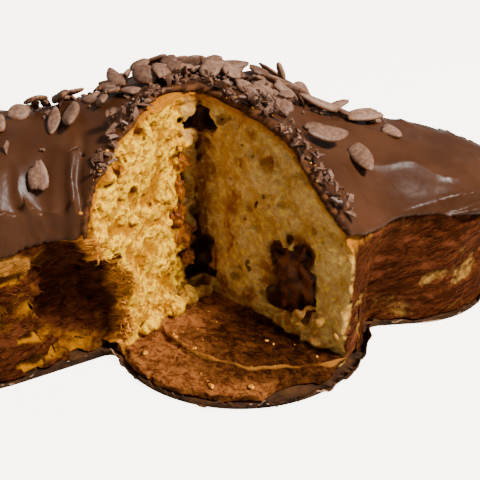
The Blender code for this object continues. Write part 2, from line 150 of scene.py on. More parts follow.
# Each crown: place, rise over the shoulder, fullness, span in from the edge.
CROWNS = (
    ((-0.050, 0.000), 0.061, 0.48, 0.037),
    ((-0.022, 0.034), 0.053, 0.60, 0.050),
    ((0.012, -0.010), 0.041, 0.98, 0.060),
    ((-0.112, 0.012), 0.0335, 0.50, 0.045),
    ((-0.080, 0.022), 0.032, 0.50, 0.045),
    ((0.034, 0.042), 0.035, 0.90, 0.060),
    ((0.080, 0.050), 0.013, 0.50, 0.034),
    ((-0.002, 0.095), 0.028, 0.60, 0.048),
)
CROWN_REACH = 0.030
WAVE = 0.0011
WAVE_LENGTH = 0.026
BISECTIONS = 26
FARTHEST = 0.2
STEPS_PER_ANGLE = 6


def lobe_distance(x, y, lobe, grow):
    (root_x, root_y), (tip_x, tip_y), root_r, tip_r = lobe
    length = math.hypot(tip_x - root_x, tip_y - root_y)
    way_x, way_y = (tip_x - root_x) / length, (tip_y - root_y) / length
    along = (x - root_x) * way_x + (y - root_y) * way_y
    aside = np.abs((y - root_y) * way_x - (x - root_x) * way_y)
    taper = (root_r - tip_r) / length
    side = math.sqrt(1.0 - taper * taper)
    station = along * side - aside * taper
    at_root = np.hypot(aside, along) - root_r - grow
    at_tip = np.hypot(aside, along - length) - tip_r - grow
    between = aside * side + along * taper - root_r - grow
    return np.where(station < 0.0, at_root, np.where(station > side * length, at_tip, between))


def plan_distance(x, y, blend, grow):
    nearest = lobe_distance(x, y, LOBES[0], grow)
    for lobe in LOBES[1:]:
        distance = lobe_distance(x, y, lobe, grow)
        overlap = np.maximum(blend - np.abs(nearest - distance), 0.0) / blend
        nearest = np.minimum(nearest, distance) - overlap * overlap * blend / 4.0
    return nearest


def local_crown(x, y):
    total = rise = full = span = 0.0
    for (at_x, at_y), crown_rise, crown_full, crown_span in CROWNS:
        weight = np.exp(-((x - at_x) ** 2 + (y - at_y) ** 2) / (2.0 * CROWN_REACH ** 2)) + 1e-9
        total = total + weight
        rise = rise + weight * crown_rise
        full = full + weight * crown_full
        span = span + weight * crown_span
    return rise / total, full / total, span / total


def one_wave(x, y, z, length):
    return 2.0 * noise.noise(Vector((x, y, z)) / length)


waves = np.vectorize(one_wave, otypes=[float])


def smooth_crown(x, y):
    """Plan distance at the shoulder, share of the way up the crown, and its height without waves."""
    rise, full, span = local_crown(x, y)
    shoulder = plan_distance(x, y, TOP_BLEND, TOP_FLARE)
    share = 1.0 - (1.0 - np.clip(-shoulder / span, 0.0, 1.0)) ** 2
    return shoulder, share, SHOULDER + rise * share ** full


def crown_height(x, y):
    _, share, height = smooth_crown(x, y)
    return height + share * WAVE * waves(x, y, 0.0, WAVE_LENGTH)


def plan_radius(angles, blend, grow):
    low = np.zeros_like(angles)
    high = np.full_like(angles, FARTHEST)
    for _ in range(BISECTIONS):
        middle = (low + high) / 2.0
        inside = plan_distance(HEART[0] + middle * np.cos(angles), HEART[1] + middle * np.sin(angles),
                               blend, grow) < 0.0
        low = np.where(inside, middle, low)
        high = np.where(inside, high, middle)
    return low


def even_angles(count):
    fine = np.linspace(0.0, math.tau, STEPS_PER_ANGLE * count + 1)
    radii = plan_radius(fine, (BASE_BLEND + TOP_BLEND) / 2.0, 0.0)
    steps = np.hypot(np.diff(radii * np.cos(fine)), np.diff(radii * np.sin(fine)))
    walked = np.concatenate([[0.0], np.cumsum(steps)])
    return np.interp(walked[-1] * np.arange(count) / count, walked, fine)


# The cut: a wedge taken from the front wing with a knife and by hand, so that the crumb tore. Its two
# faces stand on a floor of bottom crust, and lumps of crumb are left along the inner corner.
CORNER = (-0.0176, 0.0262)
LEFT_FACE = math.radians(-124.0)
RIGHT_FACE = math.radians(-43.0)
LEFT_START = 0.0100
RIGHT_START = 0.0020
INNER_FLOOR = 0.0085
OUTER_FLOOR = 0.0042
RIDGE_LEFT = 0.030
RIDGE_RIGHT = 0.086
RIDGE_WIDTH = 0.0016
RIDGE_WANDER = 0.0034
RIDGE_LIP = 0.0007
RIDGE_SAG = 0.018
SAG_INNER = 0.0012
SAG_OUTER = 0.0014
LIP_BACK = 0.0010
LIP_WIDTH = 0.0011
# The ridge's wandering: length, share and the noise's own number.
RIDGE_WAVES = ((0.0130, 1.0, 21.0), (0.0048, 0.5, 22.0))
BARE_PAPER = {"at": (0.021, -0.0475), "long": 0.0130, "wide": 0.0065, "turn": math.radians(-62.0)}
BARE_EDGE = 1.6
BARE_DEPTH = 0.002
PAPER_TOP = 0.0012
# Where the bottom crust is darkest: baked darkest, and painted with shadow as well.
BURNT_SHADOW_PATCH = {"at": (0.022, -0.017), "long": 0.050, "wide": 0.036}


def face_way(side):
    angle = LEFT_FACE if side == "left" else RIGHT_FACE
    return Vector((math.cos(angle), math.sin(angle), 0.0))


def face_turn(side):
    way = face_way(side)
    return math.atan2(way.y, way.x)


def face_out(side):
    way = face_way(side)
    return Vector((way.y, -way.x, 0.0)) if side == "left" else Vector((-way.y, way.x, 0.0))


def face_point(side, along, height, deep=0.0):
    return Vector((*CORNER, height)) + face_way(side) * along + face_out(side) * deep


def from_wedge(x, y):
    """Plan distance from the open wedge, negative inside it."""
    left, right = face_out("left"), face_out("right")
    off_x, off_y = x - CORNER[0], y - CORNER[1]
    start_left = face_point("left", LEFT_START, 0.0)
    start_right = face_point("right", RIGHT_START, 0.0)
    across = (start_right - start_left).normalized()
    blunt = Vector((-across.y, across.x, 0.0))
    if blunt.dot(face_way("left")) > 0.0:
        blunt = -blunt
    from_blunt = (x - start_left.x) * blunt.x + (y - start_left.y) * blunt.y
    sides = np.maximum(off_x * left.x + off_y * left.y, off_x * right.x + off_y * right.y)
    return np.maximum(sides, from_blunt)


def past_ridge(x, y):
    """How far a plan point lies outside the torn ridge of the floor."""
    away = np.hypot(x - CORNER[0], y - CORNER[1])
    part = (np.arctan2(y - CORNER[1], x - CORNER[0]) - LEFT_FACE) / (RIGHT_FACE - LEFT_FACE)
    ridge = RIDGE_LEFT + (RIDGE_RIGHT - RIDGE_LEFT) * np.clip(part, 0.0, 1.0)
    flat = np.zeros_like(away)
    return away - ridge - summed(x, y, flat, RIDGE_WAVES) * RIDGE_WANDER


def floor_height(x, y):
    past = past_ridge(x, y)
    step = np.clip(past / RIDGE_WIDTH + 0.5, 0.0, 1.0)
    sag = np.clip(1.0 - np.abs(past) / RIDGE_SAG, 0.0, 1.0)
    inner = INNER_FLOOR - SAG_INNER * sag
    outer = OUTER_FLOOR + SAG_OUTER * sag
    height = inner + (outer - inner) * step
    height = height + RIDGE_LIP * np.exp(-((past + LIP_BACK) / LIP_WIDTH) ** 2)
    bare_x, bare_y = x - BARE_PAPER["at"][0], y - BARE_PAPER["at"][1]
    cos, sin = math.cos(BARE_PAPER["turn"]), math.sin(BARE_PAPER["turn"])
    across = (bare_x * cos + bare_y * sin) / BARE_PAPER["wide"]
    along = (bare_y * cos - bare_x * sin) / BARE_PAPER["long"]
    bare = np.clip(BARE_EDGE - across * across - along * along, 0.0, 1.0)
    return height - bare * (height + BARE_DEPTH)


# The crumb and its crust are carved in a fine block of cells: the baked shape, less the torn wedge,
# less the gas pores, and then skinned.
LATTICE_SIZE = 32
LATTICE_SEED = 5
# How far apart the noises of two numbers lie, in cells.
LATTICE_APART = 4.7
lattice = np.random.default_rng(LATTICE_SEED).random((LATTICE_SIZE,) * 3).astype(np.float32) * 2.0 - 1.0


def rough(x, y, z, lengths, shift):
    """Smooth random unevenness from -1 to 1, at one wavelength along each axis."""
    cells = [np.asarray(value, np.float32) / length + shift * (LATTICE_APART + axis)
             for axis, (value, length) in enumerate(zip((x, y, z), lengths))]
    low = [np.floor(cell).astype(np.int32) for cell in cells]
    part = [cell - np.floor(cell) for cell in cells]
    part = [step * step * (3.0 - 2.0 * step) for step in part]
    total = 0.0
    for corner in range(8):
        bits = (corner & 1, corner >> 1 & 1, corner >> 2 & 1)
        weight = 1.0
        for bit, step in zip(bits, part):
            weight = weight * (step if bit else 1.0 - step)
        index = [(start + bit) % LATTICE_SIZE for start, bit in zip(low, bits)]
        total = total + weight * lattice[index[0], index[1], index[2]]
    return total


def even(length):
    return (length, length, length)


def summed(x, y, z, rows):
    """Unevenness of several wavelengths, given as rows of length, depth and the noise's own number."""
    total = 0.0
    for length, depth, number in rows:
        total = total + rough(x, y, z, even(length), number) * depth
    return total


# Deep hollows in the faces: face, way along, height, depth of the middle, three half sizes.
CAVERNS = (
    ("right", 0.0036, 0.0870, 0.002, 0.0072, 0.0080, 0.0050),
    ("right", 0.0020, 0.0190, 0.002, 0.0078, 0.0085, 0.0135),
    ("right", 0.0130, 0.0088, 0.001, 0.0092, 0.0050, 0.0036),
    ("right", 0.0525, 0.0290, 0.001, 0.0098, 0.0070, 0.0175),
    ("right", 0.0440, 0.0390, 0.000, 0.0042, 0.0040, 0.0066),
    ("right", 0.0600, 0.0210, 0.000, 0.0050, 0.0044, 0.0060),
    ("right", 0.0500, 0.0480, -0.001, 0.0026, 0.0030, 0.0036),
    ("right", 0.0436, 0.0180, 0.000, 0.0058, 0.0046, 0.0058),
    ("right", 0.0572, 0.0430, 0.000, 0.0052, 0.0042, 0.0056),
    ("left", 0.0118, 0.0490, 0.003, 0.0024, 0.0060, 0.0040),
    ("left", 0.0085, 0.0310, 0.003, 0.0040, 0.0060, 0.0070),
)
# Larger gas pores and dents, as above.
PORES = (
    ("right", 0.0140, 0.0893, 0.000, 0.0024, 0.0022, 0.0028),
    ("right", 0.0048, 0.0790, 0.000, 0.0032, 0.0024, 0.0020),
    ("right", 0.0075, 0.0665, 0.000, 0.0022, 0.0024, 0.0027),
    ("right", 0.0118, 0.0664, 0.000, 0.0010, 0.0016, 0.0014),
    ("right", 0.0165, 0.0905, 0.001, 0.0016, 0.0020, 0.0014),
    ("right", 0.0290, 0.0545, 0.000, 0.0020, 0.0016, 0.0018),
    ("right", 0.0334, 0.0478, -0.001, 0.0026, 0.0028, 0.0042),
    ("right", 0.0298, 0.0290, 0.000, 0.0018, 0.0020, 0.0030),
    ("right", 0.0365, 0.0180, 0.001, 0.0014, 0.0018, 0.0012),
    ("right", 0.0252, 0.0383, 0.001, 0.0007, 0.0016, 0.0006),
    ("right", 0.0217, 0.0205, 0.000, 0.0024, 0.0022, 0.0020),
    ("right", 0.0395, 0.0784, -0.001, 0.0034, 0.0026, 0.0024),
    ("right", 0.0460, 0.0620, 0.000, 0.0020, 0.0020, 0.0024),
    ("right", 0.0620, 0.0560, 0.000, 0.0022, 0.0022, 0.0018),
    ("left", 0.0418, 0.0685, 0.001, 0.0029, 0.0034, 0.0027),
    ("left", 0.0478, 0.0835, 0.001, 0.0018, 0.0030, 0.0024),
    ("left", 0.0502, 0.0798, 0.001, 0.0018, 0.0030, 0.0026),
    ("left", 0.0536, 0.0768, 0.000, 0.0022, 0.0026, 0.0016),
    ("left", 0.0364, 0.0916, 0.000, 0.0024, 0.0026, 0.0022),
    ("left", 0.0287, 0.0912, 0.000, 0.0015, 0.0022, 0.0018),
    ("left", 0.0269, 0.0627, 0.000, 0.0013, 0.0024, 0.0026),
    ("left", 0.0335, 0.0606, 0.000, 0.0014, 0.0020, 0.0036),
    ("left", 0.0370, 0.0572, 0.000, 0.0026, 0.0020, 0.0013),
    ("left", 0.0209, 0.0210, 0.001, 0.0015, 0.0024, 0.0018),
    ("left", 0.0225, 0.0110, 0.001, 0.0022, 0.0026, 0.0016),
    ("left", 0.0587, 0.0767, 0.000, 0.0012, 0.0018, 0.0014),
    ("left", 0.0610, 0.0690, 0.000, 0.0012, 0.0018, 0.0020),
    ("left", 0.0425, 0.0540, 0.000, 0.0034, 0.0022, 0.0016),
)
LUMPS = (
    ("left", 0.0100, 0.0790, -0.001, 0.0035, 0.0030, 0.0035),
    ("left", 0.0250, 0.0110, -0.004, 0.0060, 0.0050, 0.0040),
    ("left", 0.0150, 0.0100, -0.004, 0.0050, 0.0050, 0.0036),
    ("left", 0.0070, 0.0092, -0.007, 0.0060, 0.0040, 0.0026),
    ("left", 0.0350, 0.0060, -0.002, 0.0080, 0.0040, 0.0050),
    ("right", 0.0640, 0.0130, -0.001, 0.0120, 0.0050, 0.0100),
    ("right", 0.0480, 0.0105, -0.001, 0.0050, 0.0040, 0.0050),
)
# Spots where fruit and syrup stained the crumb: face, way along, height, spread.
STAINS = (
    ("right", 0.0394, 0.0784, 0.0050),
    ("right", 0.0225, 0.0580, 0.0046),
    ("right", 0.0200, 0.0530, 0.0040),
    ("right", 0.0190, 0.0440, 0.0046),
    ("right", 0.0200, 0.0400, 0.0034),
    ("right", 0.0183, 0.0345, 0.0024),
    ("right", 0.0183, 0.0310, 0.0018),
    ("right", 0.0243, 0.0740, 0.0030),
    ("right", 0.0310, 0.0880, 0.0034),
    ("right", 0.0080, 0.0260, 0.0080),
    ("right", 0.0150, 0.0140, 0.0060),
    ("right", 0.0300, 0.0150, 0.0050),
    ("right", 0.0450, 0.0400, 0.0070),
    ("right", 0.0430, 0.0310, 0.0080),
    ("right", 0.0560, 0.0480, 0.0050),
    ("right", 0.0620, 0.0060, 0.0090),
    ("right", 0.0470, 0.0080, 0.0060),
    ("right", 0.0500, 0.0220, 0.0100),
    ("right", 0.0400, 0.0240, 0.0050),
    ("left", 0.0490, 0.0810, 0.0050),
    ("left", 0.0364, 0.0920, 0.0036),
    ("left", 0.0420, 0.0680, 0.0040),
    ("left", 0.0090, 0.0560, 0.0060),
    ("left", 0.0100, 0.0700, 0.0050),
    ("left", 0.0120, 0.0420, 0.0060),
    ("left", 0.0080, 0.0280, 0.0070),
)
# Where the wall's crust tore away beside the cut: as above, half sizes along, deep and high.
DENTS = (
    ("left", 0.0640, 0.0260, 0.000, 0.0155, 0.0300, 0.0222),
    ("left", 0.0735, 0.0460, 0.000, 0.0113, 0.0200, 0.0130),
)
# Small tears in the tail's wall: place and half sizes.
TEARS = (
    ((-0.0741, -0.0300, 0.0288), (0.0034, 0.0042, 0.0022)),
    ((-0.0722, -0.0295, 0.0312), (0.0020, 0.0036, 0.0026)),
    ((-0.0860, -0.0362, 0.0446), (0.0110, 0.0024, 0.0010)),
    ((-0.0700, -0.0270, 0.0085), (0.0050, 0.0040, 0.0034)),
    ((-0.0800, -0.0320, 0.0060), (0.0060, 0.0036, 0.0026)),
    ((-0.0960, -0.0400, 0.0290), (0.0040, 0.0024, 0.0012)),
    ((-0.0790, -0.0320, 0.0170), (0.0050, 0.0026, 0.0012)),
)
EDGE_CELLS = 3
# The wall's fibres rise gently to the right: length, width, depth and the noise's own number.
FIBRE_RISE = math.radians(17.0)
FIBRES = ((0.0080, 0.0024, 0.0007, 1.0), (0.0046, 0.0013, 0.0005, 2.0))
FIBRE_BEND = (0.012, 0.0022, 0.5)
WALL_WAVE = (0.0150, 0.0012, 3.0)
# Where the crust peeled off in scabs: length, width, the level they start at, slope and full depth.
SCABS = (0.0150, 0.0070, 0.25, 0.0060, 0.0018, 3.5)
PEELED = 0.0013
PEEL_TOP = 0.058
PEEL_FADE = 0.008
DENT_WAVES = ((0.0110, 0.17, 23.0), (0.0040, 0.08, 24.0))
TEAR_RUFFLE = 0.35
CARVE_REACH = 1.3
RUFFLE_LENGTH = 0.7
# Cells this near the wall are worked on: for the dents, and for the fibres.
DENT_BAND = (-0.0200, 0.0020)
FIBRE_BAND = 0.0045


class Block:
    """A block of cells over part of the loaf, with the distance to a shape held in each cell."""

    def __init__(self, low, high, cell):
        self.low = np.array(low, np.float32) - EDGE_CELLS * cell
        self.cell = cell
        counts = [int(math.ceil((top - bottom) / cell)) + 2 * EDGE_CELLS for bottom, top in zip(low, high)]
        self.x, self.y, self.z = [
            (self.low[axis] + np.arange(count) * cell).astype(np.float32)
            for axis, count in enumerate(counts)]
        self.plan_x, self.plan_y = np.meshgrid(self.x, self.y, indexing="ij")

    def upright(self, plan):
        return plan[:, :, None].astype(np.float32)

    def points(self, chosen):
        index = np.nonzero(chosen)
        return self.x[index[0]], self.y[index[1]], self.z[index[2]]

    def near(self, centre, half):
        spans = []
        for axis, values in enumerate((self.x, self.y, self.z)):
            first = int((centre[axis] - half - self.low[axis]) / self.cell)
            last = int((centre[axis] + half - self.low[axis]) / self.cell) + 2
            spans.append(slice(max(first, 0), max(min(last, len(values)), 0)))
        return tuple(spans)

    def offsets(self, spans, centre):
        return (self.x[spans[0]][:, None, None] - centre[0],
                self.y[spans[1]][None, :, None] - centre[1],
                self.z[spans[2]][None, None, :] - centre[2])


def baked_field(block, torn=True):
    """Distance to the baked loaf: upright wall, flat foot, crown."""
    foot = plan_distance(block.plan_x, block.plan_y, BASE_BLEND, 0.0)
    shoulder = plan_distance(block.plan_x, block.plan_y, TOP_BLEND, TOP_FLARE)
    height = crown_height(block.plan_x, block.plan_y)
    slope_x, slope_y = np.gradient(height, block.cell)
    upright = 1.0 / np.sqrt(1.0 + slope_x ** 2 + slope_y ** 2)
    share = np.clip(block.z / SHOULDER, 0.0, 1.0) ** WALL_POWER
    wall = block.upright(foot) * (1.0 - share) + block.upright(shoulder) * share
    top = (block.z - block.upright(height)) * block.upright(upright)
    field = np.maximum(wall, top)
    if torn:
        tear_wall(block, field)
    return np.maximum(field, PAPER_TOP - block.z)


def combed(x, y, z, length, width, shift):
    """Unevenness drawn out in fibres that rise gently along the wall."""
    along = x * math.cos(FIBRE_RISE) + z * math.sin(FIBRE_RISE)
    across = z * math.cos(FIBRE_RISE) - x * math.sin(FIBRE_RISE)
    length_of_bend, depth, number = FIBRE_BEND
    bend = rough(x, y, z, even(length_of_bend), shift + number) * depth
    return rough(along, y, across + bend, (length, length, width), shift)


def away_from(x, y, z, form):
    """Distance from the middle of a form on a cut face, counted so that its skin lies at 1."""
    side, along, height, deep, *radii = form
    spot, way, out = face_point(side, along, height, deep), face_way(side), face_out(side)
    part_along = ((x - spot.x) * way.x + (y - spot.y) * way.y) / radii[0]
    part_deep = ((x - spot.x) * out.x + (y - spot.y) * out.y) / radii[1]
    return np.sqrt(part_along ** 2 + part_deep ** 2 + ((z - spot.z) / radii[2]) ** 2)


def from_dents(x, y, z):
    """Distance to the torn dents, positive outside them."""
    nearest = np.full_like(x, 1.0)
    for dent in DENTS:
        away = away_from(x, y, z, dent)
        for length, share, number in DENT_WAVES:
            away = away + rough(x, y, z, even(length), number) * share
        nearest = np.minimum(nearest, (away - 1.0) * min(dent[4:]))
    return nearest


def tear_wall(block, field):
    """The crust tore in fibres where the paper was pulled off it."""
    chosen = (field > DENT_BAND[0]) & (field < DENT_BAND[1])
    x, y, z = block.points(chosen)
    field[chosen] = np.maximum(field[chosen], -from_dents(x, y, z))
    for centre, radii in TEARS:
        carve(block, field, centre, radii, 0.0, True, TEAR_RUFFLE)
    chosen = np.abs(field) < FIBRE_BAND
    x, y, z = block.points(chosen)
    fibres = 0.0
    for length, width, depth, number in FIBRES:
        fibres = fibres + combed(x, y, z, length, width, number) * depth
    fibres = fibres + summed(x, y, z, (WALL_WAVE,))
    length, width, level, slope, deepest, number = SCABS
    scabs = np.maximum(combed(x, y, z, length, width, number) - level, 0.0) * slope
    low_wall = np.clip((PEEL_TOP - z) / PEEL_FADE, 0.0, 1.0)
    field[chosen] += (PEELED + fibres + np.minimum(scabs, deepest)) * low_wall


def carve(block, field, centre, radii, turn, hollow, ruffle=0.0):
    """Take a turned ellipsoid out of the shape, or add one to it."""
    reach = max(radii) * CARVE_REACH
    spans = block.near(centre, reach)
    off_x, off_y, off_z = block.offsets(spans, centre)
    along = off_x * math.cos(turn) + off_y * math.sin(turn)
    aside = off_y * math.cos(turn) - off_x * math.sin(turn)
    away = np.sqrt((along / radii[0]) ** 2 + (aside / radii[1]) ** 2 + (off_z / radii[2]) ** 2)
    if ruffle:
        length = RUFFLE_LENGTH * min(radii)
        away = away + rough(off_x, off_y, off_z, even(length), centre[2] / length) * ruffle
    distance = (away - 1.0) * min(radii)
    if hollow:
        field[spans] = np.maximum(field[spans], -distance)
    else:
        field[spans] = np.minimum(field[spans], distance)


# The torn faces: slow waves, soft clumps a few millimetres wide, thin webs and fluff, as rows of
# length, depth and the noise's own number. They fade near the floor.
SLOW_WAVES = ((0.0170, 0.0018, 4.0), (0.0080, 0.0013, 5.0))
CLUMP_BEND = (0.0050, 0.0012, 9.0)
WIDE_CLUMP = (0.0058, 0.0018, 6.0)
SMALL_CLUMP = (0.0030, 0.0013, 6.5)
WEBS = (0.0019, 1.0, 7.0)
WEB_MIDDLE = 0.30
WEB_DEPTH = 0.0008
FLUFF = (0.0012, 1.0, 8.0)
FLUFF_DEPTH = 0.0004
FLOOR_CALM = 0.008
# How fast the waves and the clumps fade there, and what is left of them.
WAVE_FADE = (0.006, 0.15)
CLUMP_FADE = (0.005, 0.45)
# Cells this near the face are worked on.
WAVE_BAND = 0.010
CLUMP_BAND = 0.0060


def wide_tear(x, y, z):
    """The slow waves of the torn faces: how far the crumb recedes."""
    return summed(x, y, z, SLOW_WAVES) * np.clip((z - FLOOR_CALM) / WAVE_FADE[0], WAVE_FADE[1], 1.0)


def fine_tear(x, y, z):
    """Fluffy crumb: soft clumps a few millimetres wide, with thin torn webs between small pits."""
    bend = summed(x, y, z, (CLUMP_BEND,))
    clumps = summed(x + bend, y - bend, z + bend, (WIDE_CLUMP,))
    clumps = clumps + summed(x - bend, y - bend, z, (SMALL_CLUMP,))
    webs = np.abs(summed(x - bend, y + bend, z + bend, (WEBS,))) - WEB_MIDDLE
    return clumps + webs * WEB_DEPTH + summed(x, y, z, (FLUFF,)) * FLUFF_DEPTH


def open_wedge(block):
    """Distance to the open wedge, with its slow waves."""
    wedge = from_wedge(block.plan_x, block.plan_y)
    field = np.maximum(block.upright(wedge),
                       block.upright(floor_height(block.plan_x, block.plan_y)) - block.z)
    field = field + np.zeros((len(block.x), len(block.y), len(block.z)), np.float32)
    chosen = np.abs(field) < WAVE_BAND
    field[chosen] -= wide_tear(*block.points(chosen))
    return field


def roughen(block, field, amount):
    chosen = np.abs(field) < CLUMP_BAND
    x, y, z = block.points(chosen)
    low = np.clip((z - FLOOR_CALM) / CLUMP_FADE[0], CLUMP_FADE[1], 1.0)
    field[chosen] -= fine_tear(x, y, z) * low * amount


def show_mesh(name, mesh, smooth=True):
    if smooth:
        mesh.shade_smooth()
    piece = bpy.data.objects.new(name, mesh)
    bpy.context.scene.collection.objects.link(piece)
    return piece


def mesh_piece(name, points, faces, smooth=True):
    mesh = bpy.data.meshes.new(name)
    mesh.from_pydata(points, [], faces)
    return show_mesh(name, mesh, smooth)


def skin(name, field, block, hidden=None):
    """Mesh where the field is zero. Cells for which hidden(x, y, z) is true are left open inside."""
    limit = EDGE_CELLS * block.cell
    grid = openvdb.FloatGrid(background=limit)
    grid.copyFromArray(np.clip(field, -limit, limit).astype(np.float32), tolerance=0.0)
    points, _, quads = grid.convertToPolygons(isovalue=0.0, adaptivity=0.0)
    points = points * block.cell + block.low
    if hidden is not None:
        middles = points[quads].mean(axis=1)
        quads = quads[~hidden(middles[:, 0], middles[:, 1], middles[:, 2])]
    used, quads = np.unique(quads, return_inverse=True)
    quads = quads.reshape(-1, 4)
    points = points[used]
    return mesh_piece(name, points.tolist(), quads.tolist())


def mesh_points(piece):
    points = np.empty(len(piece.data.vertices) * 3, np.float32)
    piece.data.vertices.foreach_get("co", points)
    return points.reshape(-1, 3).T


def mark(piece, name, values):
    """Keep a value from 0 to 1 on every vertex, for the material to read."""
    layer = piece.data.attributes.new(name, "FLOAT", "POINT")
    layer.data.foreach_set("value", np.clip(values, 0.0, 1.0).astype(np.float32))


def settle(piece, slot, material, *nodes):
    """Move a piece from the plan into the frame and hand it over."""
    piece.data.transform(Matrix.Translation(PLAN_SHIFT))
    piece.data.materials.append(material)
    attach(piece, "root")
    if nodes:
        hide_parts(*nodes)


CUT_CELL = 0.00054
CUT_BAND = 0.0115
# The faces' pieces are left open at their backs, this many cells in.
OPEN_BACK = 0.6
CUT_PARTS = (
    ("left_face", (-0.082, -0.0535, 0.0060), (-0.0120, 0.048, 0.1035)),
    ("right_face", (-0.0120, -0.0535, 0.0060), (0.074, 0.048, 0.1035)),
)
# Cracks in the inner corner: height, shift to the right, half width, half depth, half height.
CRACKS = (
    (0.0150, 0.0020, 0.0060, 0.0085, 0.0085),
    (0.0270, 0.0026, 0.0048, 0.0085, 0.0110),
    (0.0420, 0.0036, 0.0018, 0.0080, 0.0110),
    (0.0580, -0.0046, 0.0016, 0.0080, 0.0090),
    (0.0720, 0.0046, 0.0012, 0.0070, 0.0070),
    (0.0880, 0.0010, 0.0060, 0.0085, 0.0050),
)
LARGE_PORES = 30
SMALL_PORES = 700
LARGE_PORE_SIZE = (0.0009, 0.0019)
SMALL_PORE_SIZE = (0.0003, 0.00085)
PORE_AREA = ((0.0, 0.088), (0.010, 0.103), (-0.0012, 0.0016))
LUMP_RUFFLE = 0.40
PORE_RUFFLE = 0.30
CRACK_RUFFLE = 0.25
RIGHT_ROUGHNESS = 0.7
SKIN_DEPTH = 0.003
# A depth under the sloping crown, as a share of the height over the point.
CROWN_SLANT = 0.75
PORE_SEED = 11
# How far pores are drawn out, along the face and upright.
PORE_LONG = (0.8, 1.5)
PORE_TALL = (0.9, 1.8)
CRACK_DEEP = 0.001


def corner_point(height, deep, right):
    """A point of the blunt inner corner, and the way into it."""
    middle = (face_point("left", LEFT_START, height) + face_point("right", RIGHT_START, height)) / 2.0
    across = face_point("right", RIGHT_START, 0.0) - face_point("left", LEFT_START, 0.0)
    across.normalize()
    inward = Vector((-across.y, across.x, 0.0))
    return middle + inward * deep + across * right, math.atan2(inward.y, inward.x)


def carve_forms(block, wedge, forms, hollow, ruffle):
    for side, along, height, deep, *radii in forms:
        place = face_point(side, along, height, deep)
        carve(block, wedge, place, radii, face_turn(side), not hollow, ruffle)


def carve_cracks(block, wedge):
    for height, right, wide, deep, tall in CRACKS:
        centre, turn = corner_point(height, CRACK_DEEP, right)
        carve(block, wedge, centre, (deep, wide, tall), turn, False, CRACK_RUFFLE)


def carve_pores(block, wedge):
    """Gas pores: many as small as a pinhead, a few long and wide."""
    dice = random.Random(PORE_SEED)
    for number in range(LARGE_PORES + SMALL_PORES):
        side = dice.choice(("left", "right"))
        along = dice.uniform(*PORE_AREA[0])
        height = dice.uniform(*PORE_AREA[1])
        size = dice.uniform(*(LARGE_PORE_SIZE if number < LARGE_PORES else SMALL_PORE_SIZE))
        centre = face_point(side, along, height, dice.uniform(*PORE_AREA[2]))
        radii = (size * dice.uniform(*PORE_LONG), size, size * dice.uniform(*PORE_TALL))
        carve(block, wedge, centre, radii, dice.uniform(0.0, math.pi), False)


def carve_cut(name, low, high):
    block = Block(low, high, CUT_CELL)
    baked = baked_field(block)
    wedge = open_wedge(block)
    carve_forms(block, wedge, LUMPS, False, LUMP_RUFFLE)
    carve_cracks(block, wedge)
    roughen(block, wedge, 1.0 if name == "left_face" else RIGHT_ROUGHNESS)
    carve_forms(block, wedge, CAVERNS, True, LUMP_RUFFLE)
    carve_forms(block, wedge, PORES, True, PORE_RUFFLE)
    carve_pores(block, wedge)
    behind = block.upright(from_wedge(block.plan_x, block.plan_y)) - CUT_BAND
    crumb = np.maximum(np.maximum(baked, behind), -wedge)
    inner_side = CUT_BAND - OPEN_BACK * CUT_CELL
    return skin(name, crumb, block,
                lambda x, y, z: (from_wedge(x, y) > inner_side) & buried(x, y, z, SKIN_DEPTH))


def baked_depths(x, y, z):
    """How deep a point lies under the loaf's wall, and under its crown."""
    foot = plan_distance(x, y, BASE_BLEND, 0.0)
    shoulder, _, top = smooth_crown(x, y)
    share = np.clip(z / SHOULDER, 0.0, 1.0) ** WALL_POWER
    wall = -(foot * (1.0 - share) + shoulder * share)
    return np.minimum(wall, from_dents(x, y, z)), (top - z) * CROWN_SLANT


def buried(x, y, z, depth):
    under_wall, under_top = baked_depths(x, y, z)
    return np.minimum(np.minimum(under_wall, under_top), z - PAPER_TOP) > depth


# How far the browning reaches in: from the wall, on the cut faces, and from the crown.
WALL_BROWN = 0.0080
FACE_BROWN = 0.0045
CROWN_BROWN = 0.0046
# The pale fringe of torn crumb round the dents, painted lighter as well where the dent lies in shade: its
# reach from the cut, and off the dent.
FRINGE_REACH = 0.0120
FRINGE_WIDTH = 0.0040
FRINGE_END = -0.030
# The inner corner and its low lumps lie in shade: like the right face they are finer, and painted with
# the darker, shaded dough. The corner's radius, and its low lumps'.
CORNER_RADIUS = 0.0118
CORNER_FADE = 0.0024
LUMP_RADIUS = 0.0250
LUMP_TOP = 0.0190
LUMP_FADE = 0.006
LUMP_STAIN = 0.62
CORNER_DIVIDE = 0.004
LOW_LUMPS = 0.8
# A pale patch of the tail's wall: place in x and z, half sizes.
PALE_PATCH = (-0.0850, 0.0500, 0.0085, 0.0052)
PALE_FULL = 1.5
# Bands beside the cut, as where each starts and how far it fades.
FACE_BAND = (0.0012, 0.0020)
FLOOR_BAND = (0.0004, 0.0012)
FLOOR_SKIN = (0.0012, 0.0012)
OPEN_FACE = 0.0016
OPEN_START = 0.2
# The pit mark paints shade, darker the deeper the torn face lies: where it starts, and its full depth.
PIT_START = 0.4
PIT_DEPTH = 0.0024
FRINGE_FULL = (1.2, 1.4)
# The torn ridge's mark, and its own and the burnt, painted-shadow patch's unevenness: length, depth,
# number.
RIDGE_MARK = (1.1, 0.0007, 0.0008)
RIDGE_BREAKS = ((0.0050, 0.9, 17.0),)
BURNT_SHADOW_EDGE = ((0.009, 0.22, 15.0),)
# A stain is full inside its spread. Near the inner corner the stain colour also paints shade, which
# reaches less far on the right.
STAIN_FULL = 1.3
CORNER_SHADE = (0.75, 0.3)
CORNER_SHADE_REACH = (0.0200, 0.0060)
STANDING = (0.0010, 0.0020)
